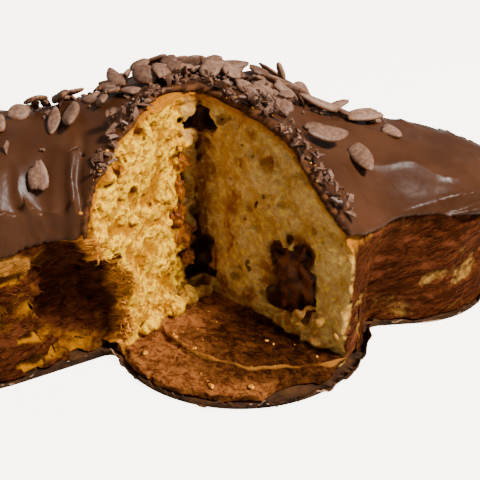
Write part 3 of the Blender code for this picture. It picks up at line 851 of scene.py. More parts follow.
# How a carved form is marked: at its middle, and how far it fades.
FORM_FULL = 1.45
FORM_FADE = 0.6
CRACK_FULL = 1.8
CRACK_MIDDLE = 0.004


def share_of(values):
    return np.clip(values, 0.0, 1.0)


def stains_and_corner_shade_at(x, y, z, cut, from_corner, on_right):
    stain_and_corner_shade = np.zeros_like(x)
    for side, along, height, spread in STAINS:
        spot = face_point(side, along, height)
        away = np.sqrt((x - spot.x) ** 2 + (y - spot.y) ** 2 + (z - spot.z) ** 2)
        stain_and_corner_shade = np.maximum(stain_and_corner_shade, STAIN_FULL - away / spread)
    # Painted shade: the stain colour darkens the crumb towards the inner corner.
    reach = CORNER_SHADE_REACH[0] - CORNER_SHADE_REACH[1] * on_right
    stain_and_corner_shade = np.maximum(stain_and_corner_shade, CORNER_SHADE[0] + CORNER_SHADE[1] * on_right - from_corner / reach)
    standing = share_of((wide_tear(x, y, z) - cut - STANDING[0]) / STANDING[1])
    return np.maximum(stain_and_corner_shade, LUMP_STAIN * standing * on_right)


def inside_forms(x, y, z, forms):
    inside = np.zeros_like(x)
    for form in forms:
        inside = np.maximum(inside, (FORM_FULL - away_from(x, y, z, form)) / FORM_FADE)
    return inside


def inside_cracks(x, y, z):
    inside = np.zeros_like(x)
    for height, right, wide, _, tall in CRACKS:
        spot, _ = corner_point(height, CRACK_MIDDLE, right)
        away = np.sqrt((x - spot.x) ** 2 + (y - spot.y) ** 2 + ((z - height) / tall * wide) ** 2)
        inside = np.maximum(inside, CRACK_FULL - away / wide)
    return inside


def mark_crumb(piece):
    x, y, z = mesh_points(piece).astype(float)
    wall_depth, top_depth = baked_depths(x, y, z)
    cut = from_wedge(x, y)
    face = share_of(1.0 - (cut - FACE_BAND[0]) / FACE_BAND[1])
    mark(piece, "wall_crust", 1.0 - wall_depth / WALL_BROWN - face * wall_depth / FACE_BROWN)
    mark(piece, "top_crust", 1.0 - top_depth / CROWN_BROWN)
    mark(piece, "torn_edge", share_of(FRINGE_FULL[0] - cut / FRINGE_REACH)
         * share_of(FRINGE_FULL[1] - from_dents(x, y, z) / FRINGE_WIDTH) * (x < FRINGE_END))
    mark(piece, "floor_crust", share_of((-cut - FLOOR_BAND[0]) / FLOOR_BAND[1])
         * share_of(1.0 - (z - floor_height(x, y) - FLOOR_SKIN[0]) / FLOOR_SKIN[1]))
    off_x, off_y = x - CORNER[0], y - CORNER[1]
    from_corner = np.hypot(off_x, off_y)
    left, right = face_out("left"), face_out("right")
    more_right = off_x * (right.x - left.x) + off_y * (right.y - left.y)
    on_right = share_of(0.5 + more_right / CORNER_DIVIDE)
    mark(piece, "stain_and_corner_shade", stains_and_corner_shade_at(x, y, z, cut, from_corner, on_right))
    open_face = share_of(cut / OPEN_FACE + OPEN_START)
    # The hollow mark: caverns and cracks, glazed and glossy, and painted dark with their shade as well.
    hollow = np.maximum(inside_forms(x, y, z, CAVERNS), inside_cracks(x, y, z))
    mark(piece, "hollow", hollow * open_face)
    # Painted shade inside the larger pores.
    mark(piece, "pore_shade", inside_forms(x, y, z, PORES) * open_face)
    # Painted shade, darker where the torn face lies deeper than its slow waves.
    mark(piece, "painted_pit_shade", PIT_START + (cut - wide_tear(x, y, z)) / PIT_DEPTH)
    low_lumps = share_of((LUMP_RADIUS - from_corner) / LUMP_FADE) * share_of((LUMP_TOP - z) / LUMP_FADE)
    near_corner = np.maximum(share_of((CORNER_RADIUS - from_corner) / CORNER_FADE), LOW_LUMPS * low_lumps)
    # The smooth mark makes the right face and the inner corner finer, and paints them with the shaded
    # dough.
    mark(piece, "smooth", np.maximum(on_right, near_corner))
    patch_x, patch_z, half_x, half_z = PALE_PATCH
    mark(piece, "pale", PALE_FULL - np.hypot((x - patch_x) / half_x, (z - patch_z) / half_z))
    full, back, wide = RIDGE_MARK
    mark(piece, "lip", full - np.abs(past_ridge(x, y) + back) / wide + summed(x, y, z, RIDGE_BREAKS))
    # The burnt patch: darker bottom crust, burnt and painted shadow as well.
    off_x, off_y = x - BURNT_SHADOW_PATCH["at"][0], y - BURNT_SHADOW_PATCH["at"][1]
    mark(piece, "burnt_shadow", 1.0 - np.hypot(off_x / BURNT_SHADOW_PATCH["long"], off_y / BURNT_SHADOW_PATCH["wide"])
         + summed(x, y, z, BURNT_SHADOW_EDGE))


CRUST_CELL = 0.0015
CRUST_BLOCK = ((-0.172, -0.055, 0.0), (0.117, 0.143, 0.1035))
FLOOR_BLOCK = ((-0.066, -0.0535, 0.0), (0.062, 0.034, 0.0160))
# The near walls: name, cell, low and high corner.
WALL_PARTS = (
    ("tail_wall", 0.0006, (-0.172, -0.055, 0.0), (-0.036, 0.000, 0.062)),
    ("head_wall", 0.0008, (0.050, -0.020, 0.0), (0.117, 0.034, 0.062)),
)
# The pieces of the loaf overlap a little, so that no seam shows between them.
OVERLAP = 0.0005
CRUST_SINK = 0.0006
WALL_SKIN = 0.005
WALL_HIDDEN = 0.0035
FLOOR_CELL = 0.0007
FLOOR_REACH = 0.004
FLOOR_TOP = 0.0145


def behind_faces(block):
    return CUT_BAND - OVERLAP - block.upright(from_wedge(block.plan_x, block.plan_y))


def carve_crust():
    block = Block(*CRUST_BLOCK, CRUST_CELL)
    baked = baked_field(block)
    return skin("baked_loaf", np.maximum(baked + CRUST_SINK, behind_faces(block)), block,
                lambda x, y, z: (from_wedge(x, y) < CUT_BAND) & buried(x, y, z, SKIN_DEPTH))


def carve_wall(name, cell, low, high):
    """The crust of the near walls, carved finely and only skin deep."""
    block = Block(low, high, cell)
    baked = baked_field(block)
    field = np.maximum(np.maximum(baked, behind_faces(block)), -WALL_SKIN - baked)
    return skin(name, field, block, lambda x, y, z: buried(x, y, z, WALL_HIDDEN))


def carve_floor():
    """The bottom crust that the cut slice left on the paper."""
    block = Block(*FLOOR_BLOCK, FLOOR_CELL)
    baked = baked_field(block)
    wedge = open_wedge(block)
    roughen(block, wedge, 1.0)
    cut = block.upright(from_wedge(block.plan_x, block.plan_y))
    field = np.maximum(np.maximum(np.maximum(baked, -wedge), cut - FLOOR_REACH), block.z - FLOOR_TOP)
    return skin("bottom_crust", field, block)


# The crumb's look: golden dough that is paler in the middle, browned under the chocolate, brown where
# it touched the paper, with syrup stains and glazed hollows. Painted shade darkens the hollows, pits,
# pores and inner corner, and the shaded right face takes a darker copy of the dough.

# The colour sockets of a Mix node, which share their names with its other sockets.
MIX_UNDER = 6
MIX_OVER = 7
MIX_RESULT = 2
MOTTLE_INPUTS = (
    ("Length", "Float", 0.010), ("Detail", "Float", 3.0), ("Grain", "Float", 0.5), ("Twist", "Float", 0.0),
    ("Turn", "Vector", (0.0, 0.0, 0.0)), ("Stretch", "Vector", (1.0, 1.0, 1.0)),
    ("Low", "Float", 0.35), ("High", "Float", 0.65),
    ("Dark", "Color", (0.0, 0.0, 0.0, 1.0)), ("Light", "Color", (1.0, 1.0, 1.0, 1.0)),
)
MOTTLE_OUTPUTS = (("Colour", "Color"), ("Mask", "Float"), ("Height", "Float"))


def mottle_group():
    """Uneven colour: soft noise of one length, spread between two colours."""
    tree = bpy.data.node_groups.new("mottle", "ShaderNodeTree")
    for name, kind, value in MOTTLE_INPUTS:
        socket = tree.interface.new_socket(name=name, in_out="INPUT", socket_type=f"NodeSocket{kind}")
        socket.default_value = value
    for name, kind in MOTTLE_OUTPUTS:
        tree.interface.new_socket(name=name, in_out="OUTPUT", socket_type=f"NodeSocket{kind}")
    add = tree.nodes.new
    given, made = add("NodeGroupInput").outputs, add("NodeGroupOutput").inputs
    where, turned, drawn = add("ShaderNodeTexCoord"), add("ShaderNodeMapping"), add("ShaderNodeMapping")
    scale, texture = add("ShaderNodeMath"), add("ShaderNodeTexNoise")
    spread, colour = add("ShaderNodeMapRange"), add("ShaderNodeMix")
    scale.operation = "DIVIDE"
    scale.inputs[0].default_value = 1.0
    spread.interpolation_type = "SMOOTHSTEP"
    colour.data_type = "RGBA"
    for source, target in (
            (where.outputs["Object"], turned.inputs["Vector"]),
            (given["Turn"], turned.inputs["Rotation"]),
            (turned.outputs["Vector"], drawn.inputs["Vector"]),
            (given["Stretch"], drawn.inputs["Scale"]),
            (drawn.outputs["Vector"], texture.inputs["Vector"]),
            (given["Length"], scale.inputs[1]),
            (scale.outputs[0], texture.inputs["Scale"]),
            (given["Detail"], texture.inputs["Detail"]),
            (given["Grain"], texture.inputs["Roughness"]),
            (given["Twist"], texture.inputs["Distortion"]),
            (texture.outputs["Fac"], spread.inputs["Value"]),
            (given["Low"], spread.inputs["From Min"]),
            (given["High"], spread.inputs["From Max"]),
            (spread.outputs["Result"], colour.inputs["Factor"]),
            (given["Dark"], colour.inputs[MIX_UNDER]),
            (given["Light"], colour.inputs[MIX_OVER]),
            (colour.outputs[MIX_RESULT], made["Colour"]),
            (spread.outputs["Result"], made["Mask"]),
            (texture.outputs["Fac"], made["Height"])):
        tree.links.new(source, target)
    return tree


mottle = mottle_group()


class Wiring:
    """Short ways to add and join shader nodes in one material."""

    def __init__(self, name):
        self.material = bpy.data.materials.new(name)
        self.material.use_nodes = True
        self.tree = self.material.node_tree
        self.shader = self.tree.nodes["Principled BSDF"]

    def node(self, kind, **values):
        node = self.tree.nodes.new(kind)
        for key, value in values.items():
            setattr(node, key, value)
        return node

    def link(self, source, target):
        if isinstance(source, (int, float, tuple)):
            target.default_value = (*source, 1.0) if target.type == "RGBA" else source
        else:
            self.tree.links.new(source, target)

    def uneven(self, **given):
        node = self.node("ShaderNodeGroup", node_tree=mottle)
        for name, value in given.items():
            self.link(value, node.inputs[name.capitalize()])
        return node.outputs

    def mottle(self, length, low, high, dark, light, detail=3.0, grain=0.5, **form):
        return self.uneven(length=length, low=low, high=high, dark=dark, light=light, detail=detail,
                           grain=grain, **form)["Colour"]

    def noise(self, length, detail=3.0, grain=0.5, **form):
        return self.uneven(length=length, detail=detail, grain=grain, **form)["Height"]

    def marked(self, name):
        return self.node("ShaderNodeAttribute", attribute_name=name).outputs["Fac"]

    def fit(self, value, low, high, out_low=0.0, out_high=1.0):
        node = self.node("ShaderNodeMapRange", interpolation_type="SMOOTHSTEP")
        for name, given in (("Value", value), ("From Min", low), ("From Max", high),
                            ("To Min", out_low), ("To Max", out_high)):
            self.link(given, node.inputs[name])
        return node.outputs["Result"]

    def math(self, operation, first, second):
        node = self.node("ShaderNodeMath", operation=operation)
        self.link(first, node.inputs[0])
        self.link(second, node.inputs[1])
        return node.outputs[0]

    def times(self, first, second):
        return self.math("MULTIPLY", first, second)

    def plus(self, first, second):
        return self.math("ADD", first, second)

    def swing(self, value, amount):
        """A noise round 0 instead of a half, times an amount."""
        return self.times(self.math("SUBTRACT", value, 0.5), amount)

    def mix(self, share, under, over):
        node = self.node("ShaderNodeMix", data_type="RGBA")
        self.link(share, node.inputs["Factor"])
        self.link(under, node.inputs[MIX_UNDER])
        self.link(over, node.inputs[MIX_OVER])
        return node.outputs[MIX_RESULT]

    def colour(self, value):
        self.link(value, self.shader.inputs["Base Color"])

    def roughness(self, value):
        self.link(value, self.shader.inputs["Roughness"])

    def shine(self, value):
        self.shader.inputs["Specular IOR Level"].default_value = value

    def bump(self, height, distance, strength=1.0):
        node = self.node("ShaderNodeBump")
        self.link(height, node.inputs["Height"])
        node.inputs["Distance"].default_value = distance
        node.inputs["Strength"].default_value = strength
        self.link(node.outputs["Normal"], self.shader.inputs["Normal"])


# Each pair is the darker and the lighter shade of one kind of crumb or crust.
LIT_DOUGH = ((0.95, 0.545, 0.004), (0.84, 0.41, 0.004))
# A darker copy of the dough: painted shade for the shaded right face and the inner corner.
SHADED_DOUGH = ((0.60, 0.375, 0.115), (0.43, 0.225, 0.060))
DOUGH_SPECKS = (0.74, 0.34, 0.004)
FLUFF_SHADES = ((0.32, 0.115, 0.001), (1.0, 0.64, 0.020))
FUZZ_SHADE = (0.60, 0.26, 0.003)
PAINTED_PIT_SHADE = (0.36, 0.130, 0.001)
PAINTED_PORE_SHADE = (0.32, 0.130, 0.012)
STAIN_AND_CORNER_SHADE = (0.24, 0.068, 0.006)
HOLLOW_GLAZE_AND_SHADE = (0.050, 0.012, 0.0015)
UNDER_CHOCOLATE = (0.38, 0.125, 0.006)
WALL_CRUST = ((0.022, 0.0045, 0.0010), (0.087, 0.0212, 0.0056))
DARK_PATCH = (0.036, 0.0082, 0.0014)
GOLD_PATCH = (0.135, 0.0345, 0.0110)
PALE_CRUST = ((0.17, 0.054, 0.007), (0.42, 0.170, 0.028))
# Torn crumb round the dents: pale, and painted lighter still as painted light in the shaded dent.
FRINGE_WITH_PAINTED_LIGHT = ((0.26, 0.068, 0.006), (0.86, 0.310, 0.034))
FLOOR_CRUST = ((0.082, 0.0200, 0.0040), (0.265, 0.088, 0.0200))
BURNT_SHADOW_CRUST = ((0.008, 0.0018, 0.0003), (0.058, 0.0150, 0.0020))
RIDGE_SHADE = (0.26, 0.095, 0.014)


def dough_colour(wiring, specks, fluff, fuzz):
    """Fluffy crumb: lit gold on the left face; finer on the right and in the corner, and painted shaded
    there.
    """
    coarse = wiring.math("SUBTRACT", 1.0, wiring.times(wiring.marked("smooth"), 0.6))
    dough = wiring.mottle(0.012, 0.35, 0.65, *LIT_DOUGH)
    inner = wiring.mottle(0.012, 0.35, 0.65, *SHADED_DOUGH)
    # Painted shade: the right face and the inner corner take the darker, shaded copy of the dough.
    dough = wiring.mix(wiring.marked("smooth"), dough, inner)
    dough = wiring.mix(wiring.times(coarse, wiring.fit(specks, 0.55, 0.75)), dough, DOUGH_SPECKS)
    dough = wiring.mix(wiring.times(coarse, wiring.fit(fluff, 0.49, 0.59)), dough, FLUFF_SHADES[0])
    dough = wiring.mix(wiring.times(coarse, wiring.fit(fluff, 0.49, 0.36)), dough, FLUFF_SHADES[1])
    crumbs = wiring.times(wiring.times(coarse, wiring.fit(fuzz, 0.47, 0.62)), 0.85)
    dough = wiring.mix(crumbs, dough, FUZZ_SHADE)
    # Painted shade in the deeper parts of the torn face.
    deep = wiring.times(coarse, wiring.fit(wiring.marked("painted_pit_shade"), 0.43, 0.95))
    dough = wiring.mix(deep, dough, PAINTED_PIT_SHADE)
    # Painted shade inside the larger pores.
    dough = wiring.mix(wiring.fit(wiring.marked("pore_shade"), 0.55, 1.3), dough, PAINTED_PORE_SHADE)
    # Syrup stains, and painted shade towards the inner corner, in one stain colour.
    stain = wiring.times(wiring.marked("stain_and_corner_shade"), wiring.fit(specks, 0.20, 0.62))
    dough = wiring.mix(wiring.fit(stain, 0.0, 0.85), dough, STAIN_AND_CORNER_SHADE)
    # Glazed hollows, painted dark with shade as well; the glaze is glossy in the roughness below.
    dough = wiring.mix(wiring.fit(wiring.marked("hollow"), 0.15, 0.9), dough, HOLLOW_GLAZE_AND_SHADE)
    browned = wiring.plus(wiring.marked("top_crust"), wiring.swing(specks, 0.9))
    return wiring.mix(wiring.fit(browned, 0.30, 1.0), dough, UNDER_CHOCOLATE)


def crust_colour(wiring, streaks):
    """The wall's crust: dark brown fibres with darker, golden and pale patches."""
    crust = wiring.mix(wiring.fit(streaks, 0.39, 0.62), *WALL_CRUST)
    crust = wiring.mottle(0.010, 0.50, 0.70, crust, DARK_PATCH, 4.0, 0.65)
    crust = wiring.mottle(0.0080, 0.53, 0.70, crust, GOLD_PATCH, 4.0, 0.65, stretch=(0.5, 0.5, 1.0))
    pale = wiring.mix(wiring.fit(streaks, 0.40, 0.60), *PALE_CRUST)
    crust = wiring.mix(wiring.fit(wiring.marked("pale"), 0.2, 0.7), crust, pale)
    # The torn fringe is pale crumb, painted lighter as well to stand in for light in the shaded dent.
    fringe_with_painted_light = wiring.mix(wiring.fit(streaks, 0.40, 0.60), *FRINGE_WITH_PAINTED_LIGHT)
    return wiring.mix(wiring.fit(wiring.marked("torn_edge"), 0.2, 1.0), crust, fringe_with_painted_light)


def floor_colour(wiring):
    """The bottom crust: brown, torn in grains, burnt and painted with shadow in the middle, with a pale
    torn ridge.
    """
    torn = wiring.noise(0.0024, 6.0, 0.78, stretch=(0.60, 1.0, 1.0), twist=0.6, turn=(0.0, 0.0, 0.5))
    base = wiring.mix(wiring.fit(torn, 0.40, 0.60), *FLOOR_CRUST)
    # Painted shadow as well as burning darkens the middle of the bottom crust.
    burnt_shadow = wiring.mix(wiring.fit(torn, 0.40, 0.62), *BURNT_SHADOW_CRUST)
    base = wiring.mix(wiring.fit(wiring.marked("burnt_shadow"), 0.0, 0.55), base, burnt_shadow)
    return wiring.mix(wiring.fit(wiring.marked("lip"), 0.3, 0.9), base, RIDGE_SHADE)


def crumb_material():
    wiring = Wiring("golden_crumb")
    specks = wiring.noise(0.0030, 4.0, 0.6)
    fluff = wiring.noise(0.0024, 5.0, 0.66)
    fuzz = wiring.noise(0.0011, 4.0, 0.65)
    streaks = wiring.noise(0.0012, 5.0, 0.75, stretch=(0.24, 0.24, 1.0), twist=0.8,
                           turn=(0.0, FIBRE_RISE, 0.0))
    dough = dough_colour(wiring, specks, fluff, fuzz)
    edge = wiring.plus(wiring.marked("wall_crust"), wiring.swing(specks, 0.5))
    dough = wiring.mix(wiring.fit(edge, 0.35, 0.75), dough, crust_colour(wiring, streaks))
    wiring.colour(wiring.mix(wiring.marked("floor_crust"), dough, floor_colour(wiring)))
    wiring.roughness(wiring.fit(wiring.marked("hollow"), 0.3, 1.0, 0.80, 0.30))
    wiring.shine(0.02)
    wiring.bump(wiring.plus(wiring.plus(fluff, streaks), wiring.times(fuzz, 0.70)), 0.0008)
    return wiring.material


golden = crumb_material()
faces, walls = {}, {}
for name, low, high in CUT_PARTS:
    faces[name] = carve_cut(name, low, high)
    mark_crumb(faces[name])
crust = carve_crust()
mark_crumb(crust)
settle(crust, "crumb", golden, "crumb")
for name, cell, low, high in WALL_PARTS:
    walls[name] = carve_wall(name, cell, low, high)
    mark_crumb(walls[name])
bottom = carve_floor()
mark_crumb(bottom)

# Loose ends: strands of torn crumb along the cut's edge and the wall, and crumbs dropped on the floor.
STRAND_SIDES = 4
STRAND_STEPS = 6
STRAND_ROOT = 0.0003
STRAND_TAPER = 0.75
STRAND_FLAT = 0.5
# How a strand lifts off, bends aside at each step and droops.
STRAND_LIFT = (0.1, 0.9)
STRAND_BEND = (-0.5, 0.5)
STRAND_DROOP = (-0.45, 0.15)
# How many, their lengths, half thicknesses, and how far they turn off the wall's fibres.
RIM_STRANDS = (190, (0.0020, 0.0056), (0.00022, 0.00050), 1.2)
WALL_STRANDS = (420, (0.0015, 0.0055), (0.00014, 0.00032), 0.5)
# Crumbs: how many and how large, and how far each is drawn out along its three axes.
FLOOR_CRUMBS = (22, (0.00025, 0.00130))
COAT_CRUMBS = (24, (0.00025, 0.0009))
CRUMB_FORM = ((0.8, 1.6), (0.7, 1.2), (0.5, 0.9))
CRUMB_PITS = 0.0007
CRUMB_RELIEF = 0.5
CRUMB_LIFT = 0.4
CRUMB_TURN = 3.0
LOOSE_SEED = 17
# Where they grow and lie: distances from the cut and the dent, heights, ends in x, ways out.
RIM_FROM_CUT = 0.0035
RIM_FROM_DENT = 0.0022
RIM_HEIGHTS = (0.006, 0.058)
RIM_END = -0.035
TAIL_FACING = -0.3
TAIL_HEIGHTS = (0.004, 0.054)
TAIL_END = -0.125
TAIL_FROM_CUT = 0.002
FLOOR_FACING = 0.7
FLOOR_LEVEL = 0.0035
FLOOR_INSET = 0.003
GOLDEN_BITS = ((0.34, 0.110, 0.008), (0.72, 0.310, 0.034))
BROWN_BITS = ((0.06, 0.014, 0.002), (0.19, 0.058, 0.008))


def surface_spots(piece, dice, count, chosen):
    """Random places of a piece, with the way out, where chosen(points, normals) holds."""
    mesh = piece.data
    points = np.empty(len(mesh.vertices) * 3, np.float32)
    normals = np.empty(len(mesh.vertices) * 3, np.float32)
    mesh.vertices.foreach_get("co", points)
    mesh.vertices.foreach_get("normal", normals)
    points, normals = points.reshape(-1, 3), normals.reshape(-1, 3)
    found = np.nonzero(chosen(points, normals))[0]
    return [(Vector(points[index].tolist()), Vector(normals[index].tolist()))
            for index in dice.sample(found.tolist(), min(count, len(found)))]


def strand(dice, start, out, way, length, thick):
    """A thin torn strand that leaves the surface, tapers and curls."""
    aside = out.cross(way).normalized()
    heading = (way + out * dice.uniform(*STRAND_LIFT)).normalized()
    bend = dice.uniform(*STRAND_BEND)
    droop = dice.uniform(*STRAND_DROOP)
    place = start - out * STRAND_ROOT
    points = []
    for step in range(STRAND_STEPS + 1):
        across = heading.cross(aside).normalized()
        size = thick * (1.0 - STRAND_TAPER * step / STRAND_STEPS)
        for side in range(STRAND_SIDES):
            angle = math.tau * side / STRAND_SIDES
            points.append(place + aside * math.cos(angle) * size
                          + across * math.sin(angle) * size * STRAND_FLAT)
        place = place + heading * length / STRAND_STEPS
        heading = (heading + aside * bend + across * droop).normalized()
    return points


def grow_strands(name, dice, piece, chosen, sizes):
    count, length, thick, turn = sizes
    spots = surface_spots(piece, dice, count, chosen)
    points, faces = [], []
    for start, out in spots:
        level = Vector((math.cos(FIBRE_RISE), 0.0, math.sin(FIBRE_RISE)))
        way = (level - out * level.dot(out)).normalized()
        way = Matrix.Rotation(dice.gauss(0.0, turn), 3, out) @ way
        first = len(points)
        points += strand(dice, start, out, way, dice.uniform(*length), dice.uniform(*thick))
        faces += ring_faces(STRAND_STEPS + 1, STRAND_SIDES, first)
    return mesh_piece(name, points, faces)


def ring_faces(rings, corners, first):
    faces = []
    for ring in range(rings - 1):
        for corner in range(corners):
            after = (corner + 1) % corners
            low, high = first + ring * corners, first + (ring + 1) * corners
            faces.append((low + corner, low + after, high + after, high + corner))
    faces.append(tuple(first + corner for corner in reversed(range(corners))))
    faces.append(tuple(first + (rings - 1) * corners + corner for corner in range(corners)))
    return faces


def sculpted_piece(name, bm):
    mesh = bpy.data.meshes.new(name)
    bm.to_mesh(mesh)
    bm.free()
    return show_mesh(name, mesh)


def strew_crumbs(name, dice, spots, size):
    bm = bmesh.new()
    for start, out in spots:
        radius = size[0] + (size[1] - size[0]) * dice.random() ** 3
        turn = dice.uniform(0.0, CRUMB_TURN)
        drawn = [dice.uniform(*span) for span in CRUMB_FORM]
        shape = (Matrix.Translation(start + out * radius * CRUMB_LIFT) @ Matrix.Rotation(turn, 4, "Z")
                 @ Matrix.Diagonal((*drawn, 1.0)))
        made = bmesh.ops.create_icosphere(bm, subdivisions=2, radius=radius, matrix=shape)
        for vert in made["verts"]:
            away = vert.co - start
            vert.co = start + away * (1.0 + CRUMB_RELIEF * noise.noise(vert.co / CRUMB_PITS))
    return sculpted_piece(name, bm)


def plain_crumb_material(name, dark, light):
    wiring = Wiring(name)
    wiring.colour(wiring.mottle(0.0016, 0.38, 0.62, dark, light, 4.0, 0.7))
    wiring.roughness(0.8)
    wiring.shine(0.08)
    wiring.bump(wiring.noise(0.0008, 3.0, 0.6), 0.0003, 0.6)
    return wiring.material


def between(values, span):
    return (values > span[0]) & (values < span[1])


def on_rim(points, _):
    """Where the left face meets the torn dent."""
    x, y, z = points.T.astype(float)
    return ((from_wedge(x, y) < RIM_FROM_CUT) & (np.abs(from_dents(x, y, z)) < RIM_FROM_DENT)
            & between(z, RIM_HEIGHTS) & (x < RIM_END))


def on_tail_wall(points, normals):
    x, y, z = points.T.astype(float)
    return ((normals[:, 1] < TAIL_FACING) & between(z, TAIL_HEIGHTS) & (x > TAIL_END)
            & (from_wedge(x, y) > TAIL_FROM_CUT))


def on_floor(points, normals):
    x, y, z = points.T.astype(float)
    return ((normals[:, 2] > FLOOR_FACING) & (z > FLOOR_LEVEL) & (from_wedge(x, y) < -FLOOR_INSET)
            & (plan_distance(x, y, BASE_BLEND, 0.0) < -FLOOR_INSET))


dice = random.Random(LOOSE_SEED)
golden_bits = plain_crumb_material("golden_bits", *GOLDEN_BITS)
brown_bits = plain_crumb_material("brown_bits", *BROWN_BITS)
frayed = grow_strands("rim_strands", dice, faces["left_face"], on_rim, RIM_STRANDS)
settle(frayed, "crumb", golden_bits)
peeled = grow_strands("wall_strands", dice, walls["tail_wall"], on_tail_wall, WALL_STRANDS)
settle(peeled, "crumb", brown_bits)
fallen = surface_spots(bottom, dice, FLOOR_CRUMBS[0], on_floor)
settle(strew_crumbs("floor_crumbs", dice, fallen, FLOOR_CRUMBS[1]), "crumb", golden_bits)
for piece in (*faces.values(), *walls.values(), bottom):
    settle(piece, "crumb", golden)

# The chocolate: a coat poured over the crown, thick and softly folded, with a bead at its lower edge.
# It broke with a rough edge where the slice was cut.
GAP = 0.0004
COAT = 0.0021
COAT_EDGE = 0.18
COAT_EDGE_WAVE = 0.08
COAT_CELL = 0.0011
COAT_BLOCK = ((-0.176, -0.059, 0.048), (0.121, 0.147, 0.1075))
BEAD = 0.0016
BEAD_RISE = 0.0007
# The bead's middle over the rim, and half its height.
BEAD_BAND = (0.003, 0.004)
EDGE_SWAY = (0.7, 0.24)
# Waves of the coat: length along each axis, depth and the noise's own number.
RUN_SWAY = ((0.020, 0.020, 0.020), 0.006, 10.0)
SWELL = ((0.026, 0.026, 0.060), 0.0010, 11.0)
CREASE = ((0.0150, 0.0150, 0.055), 0.0011, 12.0)
CREASE_WIDTH = 2.2
RIM_WAVE = ((0.020, 0.020, 1.0), 0.0030, 13.0)
# The broken edge over the cut wanders: length, depth and the noise's own number.
BREAK_WAVES = ((0.0100, 0.0014, 14.0), (0.0045, 0.0013, 14.5))
BREAK_OVERHANG = 0.0004
COAT_DEPTH = 0.007
FAR_OFF = 0.01
# The coat's inside is left open where it is this close over the crown and this far from the cut.
OPEN_INSIDE = 0.0007
OPEN_FROM_CUT = 0.006
# Upright folds beside the cut: place in x, half width, rise.
FOLDS_FROM = -0.004
FOLDS_FADE = 0.006
FOLD_SWAY = 0.6
FOLDS = (
    (-0.0576, 0.0016, -0.0010),
    (-0.0604, 0.0022, 0.0008),
    (-0.0660, 0.0028, 0.0007),
    (-0.0750, 0.0036, 0.0007),
    (-0.0840, 0.0040, 0.0007),
)


def coat_edge_height(x, y):
    rise, _, _ = local_crown(x, y)
    angle = np.arctan2(y - HEART[1], x - HEART[0])
    sway = waves(np.cos(angle), np.sin(angle), *EDGE_SWAY)
    return SHOULDER + (COAT_EDGE + COAT_EDGE_WAVE * sway) * rise


def drawn_out(x, y, z, wave):
    lengths, depth, number = wave
    return rough(x, y, z, lengths, number) * depth


def coat_thickness(x, y, z):
    sway = drawn_out(x, y, z, RUN_SWAY)
    thick = COAT + drawn_out(x + sway, y - sway, z, SWELL)
    lengths, depth, number = CREASE
    crease = 1.0 - np.abs(rough(x + sway, y + sway, z, lengths, number)) * CREASE_WIDTH
    thick += np.maximum(crease, 0.0) ** 2 * depth
    front = np.clip((FOLDS_FROM - y) / FOLDS_FADE, 0.0, 1.0)
    for middle, wide, rise in FOLDS:
        thick += np.exp(-((x - middle + sway * FOLD_SWAY) / wide) ** 2) * rise * front
    return thick


def carve_coat():
    block = Block(*COAT_BLOCK, COAT_CELL)
    baked = baked_field(block, False)
    chosen = np.abs(baked) < COAT_DEPTH
    x, y, z = block.points(chosen)
    thick = coat_thickness(x, y, z)
    above = block.z - block.upright(coat_edge_height(block.plan_x, block.plan_y))
    rim = above[chosen] - drawn_out(x, y, z, RIM_WAVE)
    bead = np.clip(1.0 - np.abs(rim - BEAD_BAND[0]) / BEAD_BAND[1], 0.0, 1.0) * BEAD_RISE
    shell = np.maximum(baked[chosen] - GAP - thick - bead, GAP - baked[chosen])
    low_edge = -rim
    blend = np.clip(0.5 + (shell - low_edge) / (2.0 * BEAD), 0.0, 1.0)
    coat = low_edge * (1.0 - blend) + shell * blend + BEAD * blend * (1.0 - blend)
    wedge = open_wedge(block)[chosen]
    for length, depth, number in BREAK_WAVES:
        wedge = wedge - rough(x, y, z, even(length), number) * depth
    field = np.full(baked.shape, FAR_OFF, np.float32)
    field[chosen] = np.maximum(coat, -wedge - BREAK_OVERHANG)
    return skin("chocolate_coat", field, block, under_coat)


def under_coat(x, y, z):
    shoulder, _, top = smooth_crown(x, y)
    return (shoulder < GAP) & (z < top + OPEN_INSIDE) & (from_wedge(x, y) > OPEN_FROM_CUT)


MILK_CHOCOLATE = ((0.037, 0.0122, 0.0044), (0.056, 0.0200, 0.0080))
BROKEN_CHOCOLATE = ((0.030, 0.0090, 0.0030), (0.095, 0.032, 0.0090))
BROKEN_BAND = (0.0010, 0.0016)
# Crumbs are caught on the broken edge: distance from the cut, way out, end in x.
CAUGHT_FROM_CUT = 0.0070
CAUGHT_FACING = 0.15
CAUGHT_END = 0.030


def chocolate_material():
    """Smooth and satin where it ran, dull and crumbly where it broke."""
    wiring = Wiring("milk_chocolate")
    colour = wiring.mottle(0.022, 0.35, 0.7, *MILK_CHOCOLATE)
    crumbly = wiring.mottle(0.0030, 0.42, 0.62, *BROKEN_CHOCOLATE, 4.0, 0.6)
    broken = wiring.marked("broken")
    wiring.colour(wiring.mix(broken, colour, crumbly))
    gloss = wiring.fit(wiring.noise(0.0080, 4.0, 0.6), 0.35, 0.7, 0.28, 0.45)
    wiring.roughness(wiring.math("MAXIMUM", wiring.times(broken, 0.75), gloss))
    wiring.shine(0.075)
    runs = wiring.noise(0.0055, 3.0, 0.5, stretch=(1.0, 1.0, 0.30), twist=0.4)
    dimples = wiring.noise(0.0100, 2.0, 0.4)
    relief = wiring.plus(wiring.times(runs, 0.7), wiring.times(dimples, 0.7))
    fracture = wiring.times(wiring.times(broken, 1.3), wiring.noise(0.0016, 4.0, 0.6))
    wiring.bump(wiring.plus(relief, fracture), 0.0006, 0.5)
    return wiring.material


